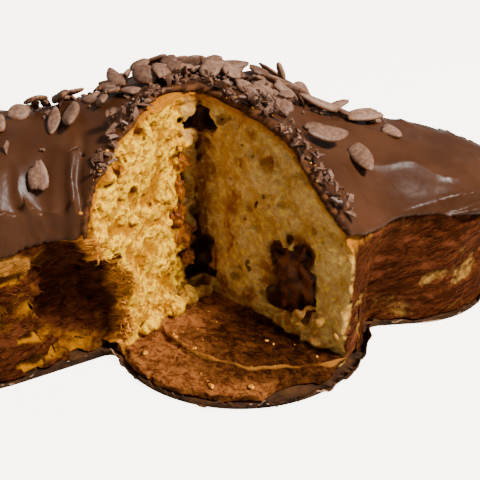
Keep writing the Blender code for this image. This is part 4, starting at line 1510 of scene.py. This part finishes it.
def on_coat_edge(points, normals):
    x, y, _ = points.T.astype(float)
    return (from_wedge(x, y) < CAUGHT_FROM_CUT) & (normals[:, 2] > CAUGHT_FACING) & (x < CAUGHT_END)


coat = carve_coat()
coat_x, coat_y, coat_z = mesh_points(coat).astype(float)
broken_off = from_wedge(coat_x, coat_y) - wide_tear(coat_x, coat_y, coat_z)
mark(coat, "broken", 1.0 - (broken_off - BROKEN_BAND[0]) / BROKEN_BAND[1])
coat_spots = surface_spots(coat, dice, COAT_CRUMBS[0], on_coat_edge)
settle(coat, "chocolate", chocolate_material(), "chocolate_coating")

# The flakes: flat pointed ovals of chocolate, some of them broken, strewn on the coat while it was
# soft, with small splinters between them.
FLAKE_TRIES = 2600
FLAKE_AREA = ((-0.165, 0.110), (-0.050, 0.140))
FLAKE_SEED = 37
FLAKE_SPACING = 0.0092
FLAKE_LENGTH = (0.015, 0.027)
FLAKE_WIDTH = (0.0070, 0.0110)
FLAKE_THICKNESS = 0.0030
FLAKE_SINK = 0.0013
NEAR_SINK = 0.0009
FLAKE_TILT = math.radians(15.0)
FLAKE_TRIM = 0.86
FLAKE_EDGE = 0.016
FLAKE_LINE = 0.070
FLAKE_MIDDLE = (-0.012, 0.044)
FLAKE_REACH = 0.078
FLAKE_FROM_CUT = 0.008
FLAKE_CORNERS = 28
FLAKE_CURL = 0.0012
FLAKE_JAG = 0.0006
FLAKE_POINTED = 0.30
FLAKE_UNEVEN = 0.005
# Broken ends: how many, how far each is turned off the length, and what is left of it.
FLAKE_BREAKS = (0, 0, 1, 1, 2)
BREAK_TURN = 0.7
BREAK_REACH = (0.22, 0.38)
FLAKE_THICKER = (0.75, 1.1)
FLAKE_UPSIDE_DOWN = 0.25
# Shades from dusty to fresh: a flake's freshest, how rare it is, and a splinter's span.
FRESHEST = 0.9
RARELY_FRESH = 1.5
SPLINTER_SHADES = (0.3, 0.7)
ROLL_OVER_TILT = 1.6
# A flake's rings from its underside over its sharp rim to its top: share of the outline, level.
FLAKE_RINGS = ((0.02, -0.32), (0.60, -0.32), (0.94, -0.24), (1.0, -0.04), (0.97, 0.14), (0.78, 0.40),
               (0.42, 0.54), (0.02, 0.58))
# How much each ring's colour is rubbed.
FLAKE_RUB = (0.0, 0.0, 0.8, 1.0, 0.8, 0.1, 0.0, 0.0)
SMALL_FLAKE_TRIES = 150
SMALL_FLAKE_SPREAD = (0.040, 0.032)
SMALL_FLAKE_SPACING = 0.0060
SMALL_FLAKE_LENGTH = (0.008, 0.019)
SMALL_FLAKE_WIDTH = (0.006, 0.011)
SMALL_FLAKE_LINE = FLAKE_LINE + 0.008
SMALL_FLAKE_FROM_CUT = 0.0022
# The flakes in sight of the cut: place, turn in degrees, length, width.
NEAR_FLAKES = (
    (-0.0530, 0.0080, -30.0, 0.012, 0.008),
    (-0.0570, 0.0135, 50.0, 0.011, 0.007),
    (-0.0495, 0.0125, 10.0, 0.012, 0.007),
    (-0.0800, 0.0150, 10.0, 0.012, 0.007),
    (-0.0700, 0.0150, 25.0, 0.019, 0.009),
    (-0.0455, -0.0065, -30.0, 0.013, 0.009),
    (-0.0462, 0.0020, 25.0, 0.021, 0.010),
    (-0.0410, 0.0370, 30.0, 0.014, 0.010),
    (-0.0330, 0.0380, 5.0, 0.018, 0.010),
    (-0.0460, 0.0215, 10.0, 0.019, 0.015),
    (-0.0270, 0.0440, 35.0, 0.020, 0.010),
    (-0.0100, 0.0500, 0.0, 0.012, 0.009),
    (-0.0160, 0.0400, -20.0, 0.024, 0.013),
    (-0.0010, 0.0520, 15.0, 0.026, 0.011),
    (0.0100, 0.0560, -5.0, 0.020, 0.010),
    (0.0230, 0.0600, -10.0, 0.020, 0.010),
    (0.0290, 0.0520, -60.0, 0.014, 0.010),
    (0.0170, 0.0500, 50.0, 0.022, 0.010),
    (0.0100, 0.0310, -30.0, 0.028, 0.013),
    (0.0170, 0.0060, -35.0, 0.016, 0.008),
    (-0.0730, -0.0235, 88.0, 0.021, 0.009),
)


def flake_places():
    spots = [(x, y, math.radians(turn), length, width) for x, y, turn, length, width in NEAR_FLAKES]
    dice = random.Random(FLAKE_SEED)
    for _ in range(FLAKE_TRIES):
        x = dice.uniform(*FLAKE_AREA[0])
        y = dice.uniform(*FLAKE_AREA[1])
        turn = dice.uniform(0.0, math.pi)
        length = dice.uniform(*FLAKE_LENGTH)
        width = dice.uniform(*FLAKE_WIDTH)
        if plan_distance(x, y, TOP_BLEND, TOP_FLARE) > -FLAKE_EDGE or crown_height(x, y) < FLAKE_LINE:
            continue
        out = math.hypot(x - FLAKE_MIDDLE[0], y - FLAKE_MIDDLE[1]) / FLAKE_REACH
        if dice.random() < out * out or from_wedge(x, y) < FLAKE_FROM_CUT:
            continue
        if all(math.hypot(x - spot[0], y - spot[1]) > FLAKE_SPACING for spot in spots):
            spots.append((x, y, turn, length, width))
    return spots


def flake_outline(dice, length, width, broken):
    """Radii round a pointed oval, with one or two ends broken off raggedly."""
    angles = np.arange(FLAKE_CORNERS) * math.tau / FLAKE_CORNERS
    cos, sin = np.cos(angles), np.sin(angles)
    across = sin * (1.0 - FLAKE_POINTED * cos ** 2)
    outline = np.stack([cos * length / 2.0, across * width / 2.0])
    jag = np.array([dice.uniform(-1.0, 1.0) for _ in angles])
    for _ in range(broken):
        heading = dice.choice((0.0, math.pi)) + dice.uniform(-BREAK_TURN, BREAK_TURN)
        limit = dice.uniform(*BREAK_REACH) * length
        over = outline[0] * math.cos(heading) + outline[1] * math.sin(heading)
        cut = np.clip((limit + jag * FLAKE_JAG) / np.maximum(over, 1e-6), 0.0, 1.0)
        outline = outline * np.where(over > limit, cut, 1.0)
    return outline * (1.0 + jag * FLAKE_UNEVEN)


def shape_flake(dice, outline, thickness, curl):
    """Rings of corners from the middle of the underside, over the sharp rim, to the middle of the top."""
    reach = max(np.abs(outline[0]).max(), 1e-6)
    rings = FLAKE_RINGS
    if dice.random() < FLAKE_UPSIDE_DOWN:
        rings = [(grow, -level) for grow, level in reversed(rings)]
    points = []
    for grow, level in rings:
        x, y = outline * grow
        points.append(np.stack([x, y, level * thickness + curl * (x / reach) ** 2], axis=1))
    return np.concatenate(points), len(rings)


# The height of what lies on the crown so far, over a grid of the plan: each piece rests on it.
HEAP_CELL = 0.0010
HEAP_LOW = (-0.180, -0.062)
HEAP_HIGH = (0.124, 0.150)
HEAP_LIMIT = 0.0080
HEAP_STEEP = 2.2
# No corner is counted that lies closer to the open cut, and a piece needs this many corners off it.
OFF_CUT = 0.0005
FEWEST_CORNERS = 6
# Corners over the cut are drawn back to the flake's middle, step by step.
OVER_CUT = 0.0006
DRAW_STEPS = 24
DRAW_BACK = 0.08
heap_x, heap_y = np.meshgrid(np.arange(HEAP_LOW[0], HEAP_HIGH[0], HEAP_CELL),
                             np.arange(HEAP_LOW[1], HEAP_HIGH[1], HEAP_CELL), indexing="ij")


def heap_cells(x, y):
    across = np.clip(np.rint((x - HEAP_LOW[0]) / HEAP_CELL).astype(int), 0, heap_x.shape[0] - 1)
    along = np.clip(np.rint((y - HEAP_LOW[1]) / HEAP_CELL).astype(int), 0, heap_x.shape[1] - 1)
    return across, along


def coat_surface():
    """Height of the coat's outside over the grid, and how much longer a slope is than its plan."""
    crown = crown_height(heap_x, heap_y)
    slope_x, slope_y = np.gradient(crown, HEAP_CELL)
    lean = np.sqrt(1.0 + np.minimum(slope_x ** 2 + slope_y ** 2, HEAP_STEEP ** 2))
    cells = heap_cells(coat_x, coat_y)
    thick = np.zeros_like(crown)
    np.maximum.at(thick, cells, coat_z - crown[cells])
    beside = [(step_x, step_y) for step_x in (-1, 0, 1) for step_y in (-1, 0, 1)]
    thick = np.max([np.roll(thick, step, (0, 1)) for step in beside], axis=0)
    return crown + np.where(thick > GAP, thick, (GAP + COAT) * lean), lean


coat_top, lean = coat_surface()
heap = coat_top.copy()


def lay_on_heap(points, x, y, turn, tilt, roll, sink):
    """Lay a piece flat on what is under it, with a little tilt, and add it to the heap."""
    cos, sin = math.cos(turn), math.sin(turn)
    off_x, off_y = points[:, 0] * cos - points[:, 1] * sin, points[:, 0] * sin + points[:, 1] * cos
    clear = from_wedge(x + off_x, y + off_y) > OFF_CUT
    if clear.sum() < FEWEST_CORNERS:
        return None
    under = heap[heap_cells(x + off_x[clear], y + off_y[clear])]
    ground = np.column_stack([off_x[clear], off_y[clear], np.ones(clear.sum())])
    slope_x, slope_y, level = np.linalg.lstsq(ground, under, rcond=None)[0]
    lie = Vector((-slope_x, -slope_y, 1.0)).normalized().to_track_quat("Z", "Y").to_matrix().to_4x4()
    turned = (Matrix.Translation((x, y, level)) @ lie @ Matrix.Rotation(turn, 4, "Z")
              @ Matrix.Rotation(tilt, 4, "Y") @ Matrix.Rotation(roll, 4, "X"))
    matrix = np.array(turned)
    points = points @ matrix[:3, :3].T + matrix[:3, 3]
    clear = from_wedge(points[:, 0], points[:, 1]) > OFF_CUT
    if not clear.any():
        return None
    cells = heap_cells(points[:, 0], points[:, 1])
    gap = (points[:, 2] - heap[cells])[clear].min()
    points[:, 2] -= gap + sink
    if ((points[:, 2] - coat_top[cells]) / lean[cells])[clear].max() > HEAP_LIMIT:
        return None
    np.maximum.at(heap, cells, points[:, 2])
    return points


def keep_off_cut(points, middle):
    """Corners that would hang over the cut are broken back to it."""
    for _ in range(DRAW_STEPS):
        over = from_wedge(points[:, 0], points[:, 1]) < -OVER_CUT
        if not over.any():
            break
        points[over, :2] += (np.array(middle) - points[over, :2]) * DRAW_BACK
    return points


def small_flake_places():
    """Smaller and broken pieces, that fill the spaces between the whole ones."""
    dice = random.Random(FLAKE_SEED + 5)
    spots = []
    for _ in range(SMALL_FLAKE_TRIES):
        x = dice.gauss(FLAKE_MIDDLE[0], SMALL_FLAKE_SPREAD[0])
        y = dice.gauss(FLAKE_MIDDLE[1], SMALL_FLAKE_SPREAD[1])
        if plan_distance(x, y, TOP_BLEND, TOP_FLARE) > -FLAKE_EDGE or crown_height(x, y) < SMALL_FLAKE_LINE:
            continue
        apart = all(math.hypot(x - spot[0], y - spot[1]) > SMALL_FLAKE_SPACING for spot in spots)
        if apart and from_wedge(x, y) > SMALL_FLAKE_FROM_CUT:
            spots.append((x, y, dice.uniform(0.0, math.pi), dice.uniform(*SMALL_FLAKE_LENGTH),
                          dice.uniform(*SMALL_FLAKE_WIDTH)))
    return spots


def strew_flakes():
    dice = random.Random(FLAKE_SEED + 1)
    every_point, every_face, shades = [], [], []
    first = 0
    whole = flake_places()
    near = len(NEAR_FLAKES)
    places = small_flake_places() + whole[near:] + whole[:near]
    for number, (x, y, turn, length, width) in enumerate(places):
        broken = dice.choice(FLAKE_BREAKS)
        outline = flake_outline(dice, length * FLAKE_TRIM, width * FLAKE_TRIM, broken)
        thick = FLAKE_THICKNESS * dice.uniform(*FLAKE_THICKER)
        points, rings = shape_flake(dice, outline, thick, dice.uniform(-FLAKE_CURL, FLAKE_CURL))
        tilt, roll = dice.gauss(0.0, FLAKE_TILT), dice.gauss(0.0, ROLL_OVER_TILT * FLAKE_TILT)
        sink = NEAR_SINK if number >= len(places) - near else FLAKE_SINK
        points = lay_on_heap(points, x, y, turn, tilt, roll, sink)
        if points is None:
            continue
        points = keep_off_cut(points, (x, y))
        every_point.append(points)
        every_face += ring_faces(rings, FLAKE_CORNERS, first)
        shades.append(np.full(len(points), FRESHEST * dice.random() ** RARELY_FRESH))
        first += len(points)
    piece = mesh_piece("chocolate_flakes", np.concatenate(every_point).tolist(), every_face)
    mark(piece, "edge", np.tile(np.repeat(FLAKE_RUB, FLAKE_CORNERS), len(shades)))
    mark(piece, "shade", np.concatenate(shades))
    return piece


# Splinters lie along the broken edge and between the flakes. Sizes are half lengths.
EDGE_SHARDS = 360
EDGE_SHARDS_ALONG = 0.080
EDGE_BAND = (0.0006, 0.0050)
EDGE_INSET = 0.006
SPLINTER_TRIES = 330
SPLINTER_SPREAD = (0.045, 0.038)
SPLINTER_LINE = 0.079
SPLINTER_EDGE = 0.010
SPLINTER_FROM_CUT = 0.0012
SPLINTER_SIZE = (0.0007, 0.0026)
# Large ones are rarer, by these powers: at the edge, and between the flakes.
EDGE_RARITY = 1.6
SPLINTER_RARITY = 2
SPLINTER_THICKNESS = (0.0004, 0.0014)
SPLINTER_TILT = 0.7
SPLINTER_SINK = 0.35
SPLINTER_RUB = 0.45
SPLINTER_SEED = 91
SPLINTER_CORNERS = (4, 6)
# Spreads of the half length, the half width and the upper rim.
SPLINTER_LONG = (0.8, 1.8)
SPLINTER_WIDE = (0.45, 0.9)
SPLINTER_BEVEL = (0.6, 0.95)


def shard(dice, size, spot_x, spot_y, sink):
    """One small broken piece, a few corners round."""
    corners = dice.randint(*SPLINTER_CORNERS)
    angles = sorted(dice.uniform(0.0, math.tau) for _ in range(corners))
    rim = np.array([[math.cos(angle) * size * dice.uniform(*SPLINTER_LONG),
                     math.sin(angle) * size * dice.uniform(*SPLINTER_WIDE)] for angle in angles])
    thick = min(dice.uniform(*SPLINTER_THICKNESS), size)
    low = np.column_stack([rim, np.full(corners, -thick / 2.0)])
    high = np.column_stack([rim * dice.uniform(*SPLINTER_BEVEL), np.full(corners, thick / 2.0)])
    turn = dice.uniform(0.0, math.tau)
    tilt, roll = [dice.uniform(-SPLINTER_TILT, SPLINTER_TILT) for _ in range(2)]
    placed = lay_on_heap(np.concatenate([low, high]), spot_x, spot_y, turn, tilt, roll, sink)
    return placed, corners


def splinter_places(dice):
    spots = []
    small, more = SPLINTER_SIZE
    for _ in range(EDGE_SHARDS):
        side = dice.choice(("left", "right"))
        along = dice.uniform(0.0, EDGE_SHARDS_ALONG)
        spot = face_point(side, along, 0.0, EDGE_BAND[0] + EDGE_BAND[1] * dice.random() ** 2)
        if plan_distance(spot.x, spot.y, TOP_BLEND, TOP_FLARE) < -EDGE_INSET:
            spots.append((spot.x, spot.y, small + more * dice.random() ** EDGE_RARITY))
    for _ in range(SPLINTER_TRIES):
        x = dice.gauss(FLAKE_MIDDLE[0], SPLINTER_SPREAD[0])
        y = dice.gauss(FLAKE_MIDDLE[1], SPLINTER_SPREAD[1])
        inside = plan_distance(x, y, TOP_BLEND, TOP_FLARE) <= -SPLINTER_EDGE
        if inside and from_wedge(x, y) >= SPLINTER_FROM_CUT and crown_height(x, y) > SPLINTER_LINE:
            spots.append((x, y, small + more * dice.random() ** SPLINTER_RARITY))
    return spots


def strew_splinters():
    dice = random.Random(SPLINTER_SEED)
    points, faces, shades = [], [], []
    first = 0
    for x, y, size in splinter_places(dice):
        placed, corners = shard(dice, size, x, y, SPLINTER_SINK * size)
        if placed is None:
            continue
        faces += ring_faces(2, corners, first)
        first += len(placed)
        points.append(placed)
        shades.append(np.full(len(placed), SPLINTER_SHADES[0] + SPLINTER_SHADES[1] * dice.random()))
    piece = mesh_piece("chocolate_splinters", np.concatenate(points).tolist(), faces, smooth=False)
    mark(piece, "edge", np.full(first, SPLINTER_RUB))
    mark(piece, "shade", np.concatenate(shades))
    return piece


DUSTY = ((0.140, 0.067, 0.040), (0.250, 0.138, 0.089))
FRESH = ((0.048, 0.0172, 0.0074), (0.108, 0.045, 0.0225))
RUBBED = (0.20, 0.078, 0.030)


def flake_material():
    wiring = Wiring("dusty_chocolate")
    specks = wiring.noise(0.0016, 4.0, 0.6)
    dusty = wiring.mottle(0.0016, 0.35, 0.7, *DUSTY, 4.0, 0.6)
    fresh = wiring.mottle(0.0016, 0.35, 0.7, *FRESH, 4.0, 0.6)
    colour = wiring.mix(wiring.marked("shade"), dusty, fresh)
    rubbed = wiring.times(wiring.marked("edge"), wiring.fit(specks, 0.42, 0.62))
    wiring.colour(wiring.mix(wiring.fit(rubbed, 0.2, 0.9), colour, RUBBED))
    wiring.roughness(wiring.fit(specks, 0.3, 0.7, 0.42, 0.65))
    wiring.shine(0.25)
    wiring.bump(wiring.noise(0.0012, 4.0, 0.6), 0.0002, 0.25)
    return wiring.material


dusty = flake_material()
settle(strew_splinters(), "chocolate", dusty)
settle(strew_flakes(), "chocolate", dusty)
settle(strew_crumbs("coat_crumbs", dice, coat_spots, COAT_CRUMBS[1]), "crumb", golden_bits)

# The paper case: thin brown baking paper, pleated, that stuck to the crust and tore down to a low
# ragged rim when it was peeled off.
PAPER = 0.0008
RIM_LOW = 0.0006
RIM_TORN = 0.0036
PAPER_CORNERS = 720
PAPER_RINGS = 12
# The floor's rings as shares of its radius, from its edge to the middle.
PAPER_FLOOR = (0.97, 0.8, 0.6, 0.4, 0.2, 0.01)
PAPER_LEAN = 0.0012
PAPER_BOW = 1.5
PAPER_SHARE = 0.7
# How high the torn rim stands on the whole, and how sharply its rags rise.
RIM_MIDDLE = 0.35
RIM_SHARP = 1.3
# Waves round the rim: place in the noise, length, depth.
RIM_RAGS = ((0.3, 0.35, 0.5), (0.6, 0.09, 0.5), (0.9, 0.022, 0.35))
RIM_FLARES = ((1.3, 0.16, 0.0010), (1.7, 0.05, 0.0006))
PAPER_BROWN = ((0.015, 0.0058, 0.0022), (0.075, 0.029, 0.0085))
PLEAT_SHADE = (0.040, 0.0150, 0.0060)
FRAYED_EDGE = (0.24, 0.140, 0.075)


def round_waves(cos, sin, rows):
    total = 0.0
    for place, length, depth in rows:
        total = total + waves(cos, sin, place, length) * depth
    return total


def torn_paper():
    angles = even_angles(PAPER_CORNERS)
    foot = plan_radius(angles, BASE_BLEND, 0.0)
    cos, sin = np.cos(angles), np.sin(angles)
    rim = RIM_LOW + RIM_TORN * np.clip(RIM_MIDDLE + round_waves(cos, sin, RIM_RAGS), 0.0, 1.0) ** RIM_SHARP
    flare = round_waves(cos, sin, RIM_FLARES)
    rows = []
    for level in np.linspace(0.0, 1.0, PAPER_RINGS):
        height = rim * level
        away = foot + GAP + PAPER / 2.0 + (PAPER_LEAN + flare) * level ** PAPER_BOW
        rows.append(np.stack([HEART[0] + away * cos, HEART[1] + away * sin, PAPER / 2.0 + height], axis=1))
    for share in PAPER_FLOOR:
        away = foot * share
        rows.insert(0, np.stack([HEART[0] + away * cos, HEART[1] + away * sin,
                                 np.full_like(cos, PAPER / 2.0)], axis=1))
    points = np.concatenate(rows)
    count = PAPER_CORNERS
    faces = [(row * count + corner, row * count + (corner + 1) % count,
              (row + 1) * count + (corner + 1) % count, (row + 1) * count + corner)
             for row in range(len(rows) - 1) for corner in range(count)]
    faces.append(tuple(range(count))[::-1])
    piece = mesh_piece("torn_paper_case", points.tolist(), faces)
    mark(piece, "torn", np.arange(len(points)) >= len(points) - count)
    thick = piece.modifiers.new("thickness", "SOLIDIFY")
    thick.thickness = PAPER * PAPER_SHARE
    thick.offset = 0.0
    return piece


def paper_material():
    wiring = Wiring("baking_paper")
    colour = wiring.mottle(0.010, 0.35, 0.7, *PAPER_BROWN, 4.0, 0.6)
    pleats = wiring.noise(0.0030, 3.0, 0.6, stretch=(1.0, 1.0, 0.15))
    colour = wiring.mix(wiring.fit(pleats, 0.50, 0.62), colour, PLEAT_SHADE)
    frayed = wiring.times(wiring.marked("torn"), wiring.fit(wiring.noise(0.0070), 0.45, 0.60))
    wiring.colour(wiring.mix(wiring.fit(frayed, 0.65, 1.0), colour, FRAYED_EDGE))
    wiring.roughness(0.8)
    wiring.shine(0.10)
    wiring.bump(wiring.noise(0.0015, 3.0, 0.6), 0.0003, 0.6)
    return wiring.material


settle(torn_paper(), "paper", paper_material(), "paper_case")

# The fruit: glossy candied peel that was baked into the inner corner, and a pocket of soft caramel
# that ran out low on the right face.

# Peel: way along the left face, height, three half sizes.
FRUIT = (
    (0.0098, 0.0700, 0.0034, 0.0036, 0.0038),
    (0.0125, 0.0590, 0.0022, 0.0030, 0.0056),
    (0.0140, 0.0480, 0.0036, 0.0034, 0.0048),
    (0.0105, 0.0365, 0.0064, 0.0042, 0.0050),
    (0.0080, 0.0255, 0.0028, 0.0032, 0.0040),
)
FRUIT_DEEP = 0.0014
CARAMEL = {"along": 0.0525, "height": 0.0285, "deep": 0.0060, "radii": (0.0112, 0.0060, 0.0188)}
PEEL_ORANGE = ((0.13, 0.030, 0.001), (0.36, 0.105, 0.003))
CARAMEL_BROWN = ((0.018, 0.0036, 0.0004), (0.13, 0.032, 0.0025))
FRUIT_SHINE = 0.12
LUMP_STEPS = 4
PEEL_GRAIN = 0.004
CARAMEL_GRAIN = 0.005
# Folds over the lump, and how deep they are.
PEEL_FOLDS = (2.4, 0.60)
CARAMEL_FOLDS = (3.4, 0.62)
CARAMEL_SEED = 9


def soft_lump(name, side, along, height, deep, radii, wrinkles, seed):
    """A wrinkled lump set into a face, turned along it."""
    folds, depth = wrinkles
    bm = bmesh.new()
    bmesh.ops.create_icosphere(bm, subdivisions=LUMP_STEPS, radius=1.0)
    for vert in bm.verts:
        shift = noise.noise(vert.co * folds + Vector((seed, 0.0, 0.0)))
        vert.co = vert.co * (1.0 + depth * shift)
        vert.co = Vector((vert.co.x * radii[0], vert.co.y * radii[1], vert.co.z * radii[2]))
    bm.transform(Matrix.Translation(face_point(side, along, height, deep))
                 @ Matrix.Rotation(face_turn(side), 4, "Z"))
    return sculpted_piece(name, bm)


def glossy_material(name, shades, length):
    wiring = Wiring(name)
    wiring.colour(wiring.mottle(length, 0.35, 0.65, *shades))
    wiring.roughness(0.30)
    wiring.shine(FRUIT_SHINE)
    wiring.bump(wiring.noise(0.0020, 4.0, 0.6), 0.0006, 0.7)
    return wiring.material


peel = glossy_material("candied_peel", PEEL_ORANGE, PEEL_GRAIN)
for number, (along, height, *radii) in enumerate(FRUIT, 1):
    lump = soft_lump(f"peel_{number}", "left", along, height, FRUIT_DEEP, radii, PEEL_FOLDS, number)
    settle(lump, "peel", peel, f"candied_peel_{number}")
caramel = glossy_material("caramel", CARAMEL_BROWN, CARAMEL_GRAIN)
pool = soft_lump("caramel_pool", "right", CARAMEL["along"], CARAMEL["height"], CARAMEL["deep"],
                 CARAMEL["radii"], CARAMEL_FOLDS, CARAMEL_SEED)
settle(pool, "caramel", caramel, "caramel_pocket")
